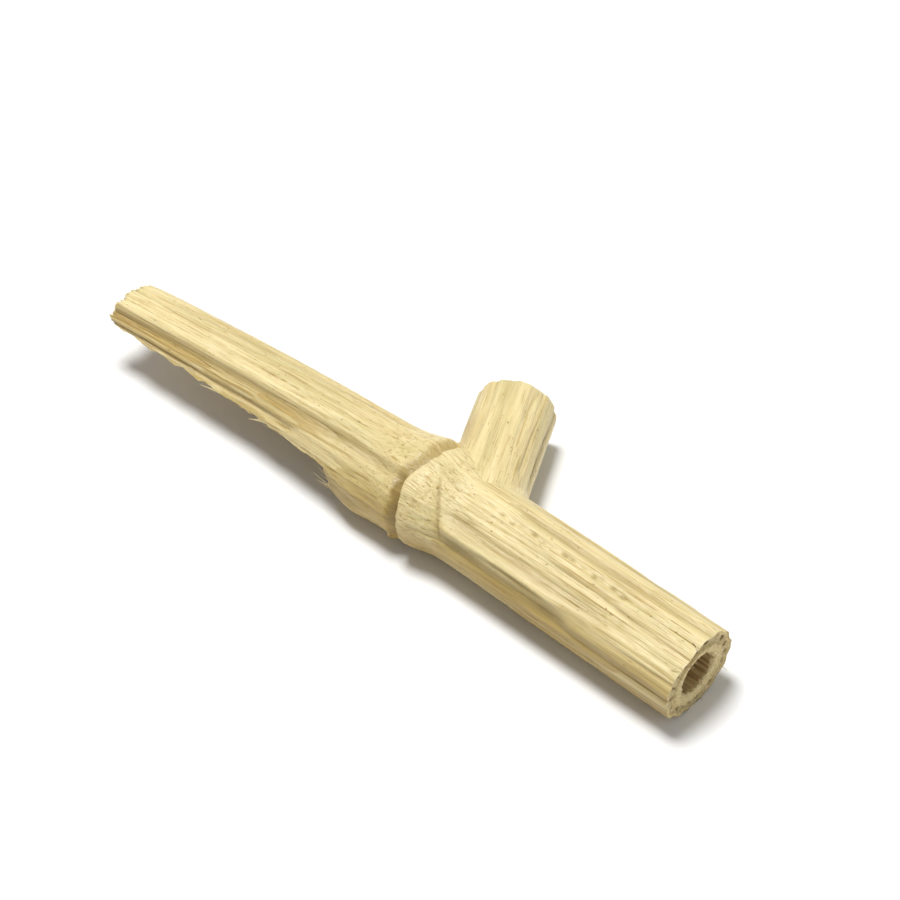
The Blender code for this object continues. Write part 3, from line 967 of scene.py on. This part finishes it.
def add_cut_face(mesh, angle, edge_radius, inner_radius, place, seed):
    """Rings across a cut wall, from the skin's edge to the hollow."""
    for number in range(FACE_RINGS):
        share = 1 - (number + 0.5) / FACE_RINGS
        radius = inner_radius + (edge_radius - inner_radius) * share
        relief, dark = end_grain(share, angle, seed)
        mesh.ring(place(angle, radius, relief - CUT_EDGE), torn=1.0, groove=dark)


def add_right_skin(mesh, angle):
    """Rings from under the sheath's edge, over its lip and along the skin to the cut."""
    scar = scar_line(angle)
    start = scar + LIP_AHEAD
    end = cut_plane(angle, CUT_RADIUS)
    lip = right_skin(start, angle)[0]
    # Rings under the lip are painted darker, as painted shade
    for ahead, drop, dark in LEDGE:
        mesh.ring(around_axis(scar + ahead, angle, lip - drop), groove=dark, torn=LEDGE_TORN)
    for row in range(RIGHT_ROWS):
        x = start + (end - start) * crowded(row / (RIGHT_ROWS - 1), RIGHT_ROWS_CROWDED)
        radius, masks = right_skin(x, angle)
        frayed = LIP_FRAYED * fall(x - scar, LIP_FRAYED_REACH, LIP_FRAYED_REACH)
        mesh.ring(around_axis(x, angle, radius), torn=frayed, **masks)


def add_right_bore(mesh, angle):
    """Rings down the whole internode's hollow to its rounded end at the node."""
    first = RIGHT_LENGTH - BORE_FIRST
    for ring in range(1, BORE_RINGS + 1):
        x = first - (first - BORE_END) * (ring / BORE_RINGS) ** BORE_CROWDED
        radius = bore_radius(x, angle, RIGHT_BORE, RIGHT_BORE_SEED)
        mesh.ring(around_axis(x, angle, radius), hollow=1.0)
    for ring in range(1, DOME_RINGS + 1):
        turn = math.pi / 2 * ring / (DOME_RINGS + 0.5)
        x = np.full(angle.shape, BORE_END - DOME_DEPTH * math.sin(turn))
        mesh.ring(around_axis(x, angle, RIGHT_BORE * math.cos(turn)), hollow=1.0)


def make_right_stem(material):
    """The node and the whole internode: one closed loft from the scar to the hollow's end."""
    mesh = Mesh()
    angle = column_angles(RIGHT_COLUMNS)
    edge = cut_plane(angle, CUT_RADIUS)
    edge_radius = right_skin(edge, angle)[0] - CUT_EDGE
    inner_radius = bore_radius(edge, angle, RIGHT_BORE, RIGHT_BORE_SEED)

    def on_cut(angle, radius, relief):
        return around_axis(cut_plane(angle, radius) + relief, angle, radius)

    add_right_skin(mesh, angle)
    add_cut_face(mesh, angle, edge_radius, inner_radius, on_cut, seed=80)
    add_right_bore(mesh, angle)
    mesh.close((RIGHT_HUB, 0.0, AXIS_HEIGHT), (BORE_END - DOME_DEPTH, 0.0, AXIS_HEIGHT))
    return finished_object(mesh, "rhizome_whole_internode", stem_grain, material)


def break_share(x):
    """0 at the break's start and 1 at the tip."""
    return np.clip((BREAK_START - x) / (LEFT_LENGTH + BREAK_START), 0, 1)


def lip_lines(x):
    """The front and back edges of the wall that is left, without their teeth."""
    return between(FRONT_LIP, break_share(x)), between(BACK_LIP, break_share(x) ** BACK_LIP_POWER)


def teeth_of(teeth, x, seed):
    """How far a lip's teeth stand off its line, torn along the fibres. Short ones fade to the tip."""
    (wave, wave_run), (long, long_run), (short, short_run) = teeth
    torn = wave * noise(x / wave_run, 0.0, seed) + long * splinters(x, long_run, seed + 1)
    torn = torn + short * splinters(x, short_run, seed + 2) * (1 - TEETH_CALMER * break_share(x))
    return torn * fall(x, BREAK_START + TEETH_START, TEETH_START)


def lip_teeth(x):
    return teeth_of(FRONT_TEETH, x, seed=11), teeth_of(BACK_TEETH, x, seed=14)


def turned_columns(x, angle):
    """Angles of the columns, turned so that each torn lip runs along one of them."""
    front, back = lip_lines(x)
    front_teeth, back_teeth = lip_teeth(x)
    front_home = FRONT_COLUMN * 360 / LEFT_COLUMNS
    back_home = BACK_COLUMN * 360 / LEFT_COLUMNS
    past_front = (angle - front_home) % 360
    gap = back_home - front_home
    share = np.where(past_front < gap, past_front / gap, (360 - past_front) / (360 - gap))
    turned = angle + (front - front_home) * (1 - share) + (back - back_home) * share
    turned = turned + front_teeth * lobe(angle, front_home, TOOTH_SPREAD)
    return turned + back_teeth * lobe(angle, back_home, TOOTH_SPREAD)


def tip_line(angle):
    """How far each column stops short of the tip, as fibres of uneven length."""
    ragged = TIP_RAGGED * (1 + fringe(angle, TIP_CELLS, seed=15))
    for cells, depth, seed in TIP_NICKS:
        ragged = ragged + depth * np.clip(fringe(angle, cells, seed), 0, 1)
    return ragged


def wall_left(x, angle):
    """True where the broken internode still has its wall."""
    number = np.arange(LEFT_COLUMNS)[None, :]
    within_lips = (number < FRONT_COLUMN) | (number >= BACK_COLUMN)
    splinter = np.clip(fringe(angle, BREAK_SPLINTER_CELLS, seed=15), 0, 1) ** 2
    slant = window(angle, FRONT_LIP[0], BREAK_RAMPS[0], BACK_LIP[0], BREAK_RAMPS[1])
    waves = BREAK_WAVE * sine(BREAK_WAVES * angle)
    return within_lips | (x > BREAK_START + BREAK_SLANT * slant + waves - BREAK_SPLINTER * splinter)


def without_corner_contacts(kept):
    """Fill cells until no two kept cells meet at a corner alone."""
    while True:
        right = np.roll(kept, -1, axis=1)
        falling = kept[:-1] & right[1:] & ~kept[1:] & ~right[:-1]
        rising = kept[1:] & right[:-1] & ~kept[:-1] & ~right[1:]
        if not (falling.any() or rising.any()):
            return kept
        kept = kept.copy()
        kept[1:] |= falling
        kept[:-1] |= rising


def left_hollow(x, angle, start):
    """x and radius of the broken internode's hollow, which a thin wall closes at the node."""
    depth = (start - x) / (start + DIAPHRAGM_RAMP)
    drawn = -DIAPHRAGM - (DIAPHRAGM_RAMP - DIAPHRAGM) * depth**DIAPHRAGM_CROWDED
    hollow_x = np.where(x < -DIAPHRAGM_RAMP, x, drawn)
    dome = np.sqrt(np.clip((-DIAPHRAGM - hollow_x) / DOME_DEPTH, 0, 1))
    radius = bore_radius(hollow_x, angle, LEFT_BORE, LEFT_BORE_SEED) * np.maximum(dome, DIAPHRAGM_HOLE)
    radius = radius + layered(hollow_x, angle, HOLLOW_FIBRES, LEFT_BORE_SEED + 1) * dome
    return hollow_x, radius


def shaken(place, layer, shakes, seed):
    """Unevenness of one layer of the torn wall, from fibres of several sizes."""
    total = 0.0
    for number, (strength, run, layers) in enumerate(shakes):
        total = total + strength * noise(place / run, layer / layers, seed + number)
    return total


def make_left_stem(material):
    """The broken internode: a thick wall on a grid, with the missing cells left out."""
    mesh = Mesh()
    column = column_angles(LEFT_COLUMNS)[None, :]
    along = crowded(np.linspace(0, 1, LEFT_ROWS + 1)[:, None], LEFT_ROWS_CROWDED)
    start = scar_line(column) + SCAR_OVERLAP
    x = start - (start + LEFT_LENGTH) * along + tip_line(column) * rise(along, TIP_START, 1 - TIP_START)
    angle = turned_columns(x, column)
    radius, masks = left_skin(x, angle)
    hollow_x, hollow_radius = left_hollow(x, angle, start)
    grid = [mesh.add(around_axis(x, angle, radius), **masks)]
    for layer in range(1, WALL_LAYERS):
        shaken_x = x + shaken(column, layer, SHAKES_ALONG, seed=17)
        shaken_angle = angle + shaken(x, layer, SHAKES_AROUND, seed=19)
        middle_radius = radius + (hollow_radius - radius) * layer / WALL_LAYERS
        grid.append(mesh.add(around_axis(shaken_x, shaken_angle, middle_radius), torn=1.0))
    inner_radius = np.minimum(hollow_radius, radius - THINNEST_WALL)
    grid.append(mesh.add(around_axis(hollow_x, angle, inner_radius), hollow=1.0))
    cell_x = (x[:-1] + x[1:]) / 2
    cell_angle = (angle[:-1] + angle[1:]) / 2 + 180.0 / LEFT_COLUMNS
    add_wall(mesh, grid, without_corner_contacts(wall_left(cell_x, cell_angle)))
    mesh.fan(grid[0][0], (LEFT_HUB, 0.0, AXIS_HEIGHT), True, torn=1.0)
    mesh.fan(grid[-1][0], (-DIAPHRAGM, 0.0, AXIS_HEIGHT), False, hollow=1.0)
    return finished_object(mesh, "rhizome_split_internode", stem_grain, material)


def cell_corners(layer):
    """The four corners of each cell, in order around it."""
    ahead = np.roll(layer, -1, axis=1)
    return layer[:-1], layer[1:], ahead[1:], ahead[:-1]


def add_wall(mesh, grid, kept):
    """Skins on both sides of the kept cells, and torn faces wherever a cell's neighbour is missing."""
    mesh.quads(*(corner[kept] for corner in cell_corners(grid[0])))
    mesh.quads(*(corner[kept] for corner in reversed(cell_corners(grid[-1]))))
    beyond = np.zeros((1, kept.shape[1]), bool)
    missing = (
        ~np.roll(kept, 1, axis=1),
        ~np.vstack([kept[1:], beyond]),
        ~np.roll(kept, -1, axis=1),
        ~np.vstack([~beyond, kept[:-1]]),
    )
    for side, gone in enumerate(missing):
        open_side = kept & gone
        for outer, inner in zip(grid[:-1], grid[1:]):
            outer_corners, inner_corners = cell_corners(outer), cell_corners(inner)
            first, second = side, (side + 1) % 4
            mesh.quads(
                outer_corners[second][open_side], outer_corners[first][open_side],
                inner_corners[first][open_side], inner_corners[second][open_side],
            )


def shoot_surface(along, angle, radius):
    """Points around the side shoot's axis, kept on or above the floor."""
    forward_x, forward_y = SHOOT_FORWARD
    aside = sine(angle) * radius
    x = SHOOT_X + forward_x * along - forward_y * aside
    y = forward_y * along + forward_x * aside
    z = between((AXIS_HEIGHT, SHOOT_END_HEIGHT), along / SHOOT_LENGTH) + cosine(angle) * radius
    return np.stack(np.broadcast_arrays(x, y, np.maximum(z, 0.0)), axis=-1)


def stem_clearance(points):
    """How far points stand outside the stem's skin."""
    x, y, z = points[..., 0], points[..., 1], points[..., 2]
    angle = np.degrees(np.arctan2(-y, z - AXIS_HEIGHT))
    skin = body_radius(x, angle, True) + FORK_RELIEF[0] * sheath_height(x) - FORK_OVERLAP
    return np.hypot(y, z - AXIS_HEIGHT) - skin


def shoot_root(angle, radius):
    """For each angle, how far along the shoot its skin leaves the stem."""
    low = np.zeros(angle.shape)
    high = np.full(angle.shape, FORK_FARTHEST)
    for _ in range(FORK_HALVINGS):
        middle = (low + high) / 2
        outside = stem_clearance(shoot_surface(middle, angle, radius)) > 0
        high = np.where(outside, middle, high)
        low = np.where(outside, low, middle)
    return (low + high) / 2


def shoot_profile(angle):
    """Rows of (along, radius): inside the stem, round the fillet and then along the shoot."""
    wide = SHOOT_FILLET * sine(angle) ** 2
    foot = shoot_root(angle, SHOOT_RADIUS + wide)
    corner = shoot_root(angle, SHOOT_RADIUS)
    rows = [(foot - behind, SHOOT_RADIUS + wide - inset) for behind, inset in SHOOT_ROOT]
    start = corner + wide
    for row in range(FILLET_ROWS):
        share = row / FILLET_ROWS
        foot_part, start_part = (1 - share) ** 2, share**2
        along = foot_part * (foot + SHOOT_EDGE) + 2 * share * (1 - share) * corner + start_part * start
        rows.append((along, SHOOT_RADIUS + foot_part * wide))
    for row in range(SHOOT_ROWS):
        share = row / (SHOOT_ROWS - 1)
        rows.append((start + (SHOOT_LENGTH - start) * share, np.full(angle.shape, SHOOT_RADIUS)))
    return rows, corner


def shoot_skin(along, angle, radius, corner):
    """Radius and masks of the side shoot, calmer at its foot."""
    settled = smooth((along - corner) / SHOOT_SETTLING)
    furrow = furrow_depth(along, angle, SHOOT_FURROWS) * settled
    fine, crease = fine_relief(along + SHOOT_RELIEF_SHIFT, angle, seed=110)
    peel_and_highlight = flaking(along, angle, seed=41) * settled
    radius = radius - SHOOT_TAPER * along / SHOOT_LENGTH - furrow
    radius = radius + fine * between(FOOT_RELIEF, settled) - FLAKE_DEPTH * peel_and_highlight
    groove = np.clip(furrow / FURROW_DARK + SHOOT_CREASE_DARK * crease, 0, 1)
    # One flank near the stem is painted browner, as painted shade
    stain_and_shade = SHOOT_PAINTED_SHADE * window(angle, *SHOOT_PAINTED_SHADE_SPAN) * fall(along, SHOOT_PAINTED_SHADE_END, SHOOT_SETTLING)
    return radius, dict(groove=groove * between(FOOT_DARK, settled), peel_and_highlight=peel_and_highlight, stain_and_shade=stain_and_shade)


def add_shoot_bore(mesh, angle, inner_radius):
    """Rings down the shoot's hollow, which narrows to a rounded end."""
    first = SHOOT_LENGTH - BORE_FIRST
    for ring in range(1, SHOOT_BORE_RINGS + 1):
        along = first - (SHOOT_LENGTH - SHOOT_BORE_START) * ring / SHOOT_BORE_RINGS
        narrowed = math.sqrt(1 - ((ring - 0.5) / SHOOT_BORE_RINGS) ** SHOOT_BORE_POWER)
        mesh.ring(shoot_surface(along, angle, inner_radius * narrowed), hollow=1.0)


def shoot_grain(points):
    """Along the shoot, then across it on two axes."""
    forward_x, forward_y = SHOOT_FORWARD
    x, y = points[:, 0] - SHOOT_X, points[:, 1]
    along = x * forward_x + y * forward_y
    across = y * forward_x - x * forward_y
    return np.stack([along + SHOOT_GRAIN_SHIFT, across, points[:, 2] - AXIS_HEIGHT], axis=-1)


def make_side_shoot(material):
    """The side shoot: it swells out of the stem's skin and is cut across at its end."""
    mesh = Mesh()
    angle = column_angles(SHOOT_COLUMNS)
    rows, corner = shoot_profile(angle)
    for along, bare_radius in rows:
        radius, masks = shoot_skin(along, angle, bare_radius, corner)
        mesh.ring(shoot_surface(along, angle, radius), **masks)
    inner_radius = bore_radius(np.full(angle.shape, SHOOT_LENGTH), angle, SHOOT_BORE, seed=121)

    def on_end(angle, radius, relief):
        return shoot_surface(SHOOT_LENGTH + relief, angle, radius)

    add_cut_face(mesh, angle, radius - CUT_EDGE, inner_radius, on_end, seed=130)
    add_shoot_bore(mesh, angle, inner_radius)
    mesh.close(shoot_surface(SHOOT_HUB, 0.0, 0.0), shoot_surface(SHOOT_BORE_HUB, 0.0, 0.0))
    return finished_object(mesh, "side_shoot_skin", shoot_grain, material)


def unit(vectors):
    return vectors / np.linalg.norm(vectors, axis=1, keepdims=True)


def add_fibre(mesh, path, breadth, thickness):
    """A tapered fibre or flat splinter along a path of points, its breadth across the stem."""
    path[:, 2] = np.maximum(path[:, 2], thickness)
    ahead = unit(np.gradient(path, axis=0))
    aside = unit(np.cross(ahead, path - around_axis(path[:, 0], 0.0, 0.0)))
    above = np.cross(ahead, aside)
    taper = 1 - FIBRE_THIN * np.linspace(0, 1, len(path))[:, None, None] ** FIBRE_TAPER_POWER
    turn = column_angles(FIBRE_SIDES)[None, :, None]
    section = cosine(turn) * aside[:, None, :] * breadth + sine(turn) * above[:, None, :] * thickness
    rings = mesh.loft(mesh.add(path[:, None, :] + taper * section, torn=FIBRE_TORN))
    mesh.fan(rings[0], path[0], False, torn=FIBRE_TORN)
    mesh.fan(rings[-1], path[-1], True, torn=FIBRE_TORN)


def fibre_path(x, angle, radius, run, turn, lift):
    """A curved path over the stem: it runs lengthwise, turns aside and lifts off."""
    along = np.linspace(0, 1, FIBRE_RINGS)
    turn_power, lift_power = FIBRE_POWERS
    return around_axis(x + run * along, angle + turn * along**turn_power, radius + lift * along**lift_power)


def skin_radius(x, angle):
    return float(body_radius(np.array(x), np.array(angle), x > 0))


def add_lip_fibres(mesh, pick, count, longest, breadths):
    """Fibres or splinters that stand off both lips of the torn wall."""
    for _ in range(count):
        x = pick.uniform(*LIP_X)
        front, back = (float(line + teeth) for line, teeth in zip(lip_lines(x), lip_teeth(x)))
        on_front = pick.rand() < LIP_ON_FRONT
        angle = front - pick.uniform(*LIP_INSIDE_FRONT) if on_front else back + pick.uniform(*LIP_INSIDE_BACK)
        run = pick.choice((-1, -1, -1, 1)) * longest * pick.uniform(*LIP_RUNS) ** LIP_RUN_POWER
        run = max(run, LIP_FARTHEST - x)
        turn = pick.normal(*LIP_TURN) * (1 if on_front else -1)
        lift = pick.normal(*LIP_LIFT)
        path = fibre_path(x, angle, skin_radius(x, angle) - pick.uniform(*LIP_DEPTHS), run, turn, lift)
        breadth = pick.uniform(*breadths)
        add_fibre(mesh, path, breadth, min(breadth, LIP_THICKEST))


def add_tuft(mesh, pick, tuft, radius_at):
    """Fibres that stand on a broken or cut end. radius_at picks each one's place in the wall."""
    for _ in range(tuft["count"]):
        angle = pick.uniform(*tuft["angles"])
        radius = radius_at(angle)
        run = tuft["direction"] * pick.uniform(*tuft["runs"])
        turn = pick.normal(*tuft["turn"])
        lift = pick.normal(*tuft["lift"])
        path = fibre_path(tuft["x"], angle, radius, run, turn, lift)
        add_fibre(mesh, path, pick.uniform(*tuft["breadths"]), tuft["thickness"])


def make_torn_fibres(material):
    """Loose fibres at the torn lips, the step, the tip and the cut end."""
    mesh = Mesh()
    pick = np.random.RandomState(seed=7)

    def on_step(angle):
        return skin_radius(STEP_SKIN_X, angle) - pick.uniform(*STEP_DEPTHS)

    def on_tip(angle):
        return skin_radius(TIP_SKIN_X, angle) - pick.uniform(*TIP_DEPTHS)

    def on_cut(angle):
        return between((RIGHT_BORE, CUT_RADIUS), pick.uniform(*CUT_SHARES))

    add_lip_fibres(mesh, pick, **LIP_FIBRES)
    add_lip_fibres(mesh, pick, **LIP_SPLINTERS)
    add_tuft(mesh, pick, STEP_TUFT, on_step)
    add_tuft(mesh, pick, TIP_TUFT, on_tip)
    add_tuft(mesh, pick, CUT_TUFT, on_cut)
    return finished_object(mesh, "torn_fibres", stem_grain, material)


class Paint:
    """A material and its shader nodes, which are fed with sockets, numbers or colours."""

    def __init__(self, name):
        self.material = bpy.data.materials.new(name)
        self.material.use_nodes = True
        self.nodes = self.material.node_tree.nodes
        self.surface = self.nodes["Principled BSDF"].inputs

    def feed(self, sockets, values):
        """Link or set sockets by name or number."""
        for key, value in values.items():
            if isinstance(value, bpy.types.NodeSocket):
                self.material.node_tree.links.new(value, sockets[key])
            else:
                sockets[key].default_value = value

    def node(self, kind, values, **settings):
        node = self.nodes.new("ShaderNode" + kind)
        for name, setting in settings.items():
            setattr(node, name, setting)
        self.feed(node.inputs, values)
        return node.outputs

    def mix(self, share, first, second, blend="MIX"):
        return self.node("Mix", {0: share, 6: first, 7: second}, data_type="RGBA", blend_type=blend)[2]

    def maths(self, operation, *values, clamp=False):
        return self.node("Math", dict(enumerate(values)), operation=operation, use_clamp=clamp)[0]

    def attribute(self, name, output="Fac"):
        return self.node("Attribute", {}, attribute_name=name)[output]

    def masked(self, mask, strength):
        """A mask of the mesh, weakened to its strength."""
        return self.maths("MULTIPLY", self.attribute(mask), strength)

    def grain(self, length, width, detail, seed):
        """Noise drawn out along the grain, in cells of this length and width."""
        mapping = {
            "Scale": (1 / length, 1 / width, 1 / width),
            "Location": [seed * shift for shift in GRAIN_SHIFTS],
            "Vector": self.attribute("grain", "Vector"),
        }
        cells = {"Scale": 1.0, "Detail": detail, "Roughness": GRAIN_ROUGHNESS}
        return self.node("TexNoise", {**cells, "Vector": self.node("Mapping", mapping)["Vector"]})["Fac"]

    def ramp(self, share, *stops):
        """A colour ramp from (place, colour) stops."""
        node = self.nodes.new("ShaderNodeValToRGB")
        elements = node.color_ramp.elements
        elements[0].position, elements[0].color = stops[0]
        elements[1].position, elements[1].color = stops[-1]
        for place, colour in stops[1:-1]:
            elements.new(place).color = colour
        self.feed(node.inputs, {"Fac": share})
        return node.outputs["Color"]


def sound_skin(paint, paleness, streak):
    """Colour of whole skin: patches, streaks, greenish runs, dark fibres, veins and specks."""
    contrast = CONTRAST - PALER_CONTRAST * paleness
    skin = paint.mix(paleness, paint.ramp(paint.grain(*BROAD_GRAIN), *BROAD_RAMP), CREAM)
    skin = paint.mix(TONE_SHOWS * contrast, skin, paint.ramp(streak, *TONE_RAMP))
    green = paint.ramp(paint.grain(*GREEN_GRAIN), *GREEN_RAMP)
    skin = paint.mix(paint.maths("MULTIPLY", green, GREEN_SHOWS), skin, GREENISH)
    for grain, shade, dark, clear, strength in DARK_MARKS:
        marks = paint.ramp(paint.grain(*grain), (dark, shade), (clear, WHITE))
        skin = paint.mix(strength * contrast, skin, marks, "MULTIPLY")
    return skin


def marked_skin(paint, skin, streak, fibre):
    """The skin's colour with its brown staining and painted shade, its flakes and the crest's painted
    highlight, painted shade in its furrows, and with the hollow and torn places.
    """
    # Brown staining, and painted shade on the flanks, the side and the shoot
    skin = paint.mix(paint.masked("stain_and_shade", STAIN_AND_SHADE_SHOWS), skin, paint.ramp(streak, *STAIN_AND_SHADE_RAMP))
    # Peeled skin, and the crest's painted highlight, are paler
    skin = paint.mix(paint.masked("peel_and_highlight", PEEL_AND_HIGHLIGHT_SHOWS), skin, paint.mix(streak, STRAW, CREAM))
    # Painted shade in furrows, creases, pits, gaps and under the ledge, and the darker colour of the scar and
    # cut tissue
    skin = paint.mix(paint.masked("groove", SHADE_AND_DARK_TISSUE_SHOWS), skin, OLIVE_SHADE_AND_TISSUE)
    skin = paint.mix(paint.attribute("hollow"), skin, paint.ramp(streak, *HOLLOW_RAMP))
    torn = paint.mix(paint.attribute("groove"), paint.ramp(fibre, *TORN_RAMP), DARK_SHADE_AND_TISSUE)
    return paint.mix(paint.attribute("torn"), skin, torn)


def finish_skin(paint, streak, fibre):
    """The skin's sheen, glow and fine bumps."""
    rough = paint.maths("MULTIPLY_ADD", streak, STREAK_ROUGHNESS, ROUGHNESS)
    rough = paint.maths("ADD", rough, paint.masked("torn", TORN_ROUGHNESS), clamp=True)
    height = paint.maths("ADD", fibre, paint.maths("MULTIPLY", streak, BUMP_STREAKS))
    bump = paint.node("Bump", {"Strength": BUMP_STRENGTH, "Distance": BUMP_HEIGHT * MM, "Height": height})
    paint.feed(paint.surface, {**FINISH, "Roughness": rough, "Normal": bump["Normal"]})


def straw_material(name, paleness):
    """Dried straw skin: lengthwise streaks, painted shade in the furrows, paler where it is flaked or torn,
    and paler on the crest as a painted highlight.
    """
    paint = Paint(name)
    streak = paint.grain(*STREAK_GRAIN)
    fibre = paint.grain(*FIBRE_GRAIN)
    skin = sound_skin(paint, paleness, streak)
    paint.feed(paint.surface, {"Base Color": marked_skin(paint, skin, streak, fibre)})
    finish_skin(paint, streak, fibre)
    return paint.material


def looking_at(data, target, back, distance):
    """A lamp or camera, placed back from its target by the distance."""
    item = bpy.data.objects.new(data.name, data)
    bpy.context.scene.collection.objects.link(item)
    item.location = target + back * distance
    item.rotation_euler = back.to_track_quat("Z", "Y").to_euler()
    return item


def make_camera(target):
    data = bpy.data.cameras.new("camera")
    data.lens = LENS
    data.sensor_width = SENSOR
    data.clip_start, data.clip_end = CLIP
    turn, up = math.radians(VIEW_AZIMUTH), math.radians(VIEW_ELEVATION)
    back = Vector((math.sin(turn) * math.cos(up), -math.cos(turn) * math.cos(up), math.sin(up)))
    bpy.context.scene.camera = looking_at(data, target, back, FRAME_WIDTH * MM * LENS / SENSOR)


def area_light(name, direction, distance, size, power):
    data = bpy.data.lights.new(name, "AREA")
    data.shape = "DISK"
    data.size = size
    data.energy = power
    looking_at(data, Vector(), Vector(direction).normalized(), distance)


def make_studio():
    world = bpy.data.worlds.new("studio")
    world.use_nodes = True
    sky = world.node_tree.nodes["Background"]
    sky.inputs["Color"].default_value = WHITE
    sky.inputs["Strength"].default_value = SKY_STRENGTH
    bpy.context.scene.world = world
    bpy.context.scene.view_settings.view_transform = "Standard"
    for name, light in LIGHTS.items():
        area_light(name, *light)


def make_floor():
    bpy.ops.mesh.primitive_plane_add(size=FLOOR_SIZE * MM)
    floor = bpy.context.active_object
    floor.name = "floor"
    paint = Paint("white floor")
    paint.feed(paint.surface, {"Base Color": FLOOR_COLOUR, "Roughness": FLOOR_ROUGHNESS})
    floor.data.materials.append(paint.material)
    floor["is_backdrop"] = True


def main():
    skin = straw_material("dried straw", paleness=0.25)
    shoot_skin = straw_material("pale dried straw", paleness=0.6)
    for piece in (make_right_stem(skin), make_left_stem(skin)):
        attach(piece, "root")
        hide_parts("rhizome")
    fibres = make_torn_fibres(skin)
    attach(fibres, "root")
    shoot = make_side_shoot(shoot_skin)
    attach(shoot, "root")
    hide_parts("side_shoot")
    make_floor()
    make_studio()
    low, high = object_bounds()
    make_camera((Vector(low) + Vector(high)) / 2)


main()
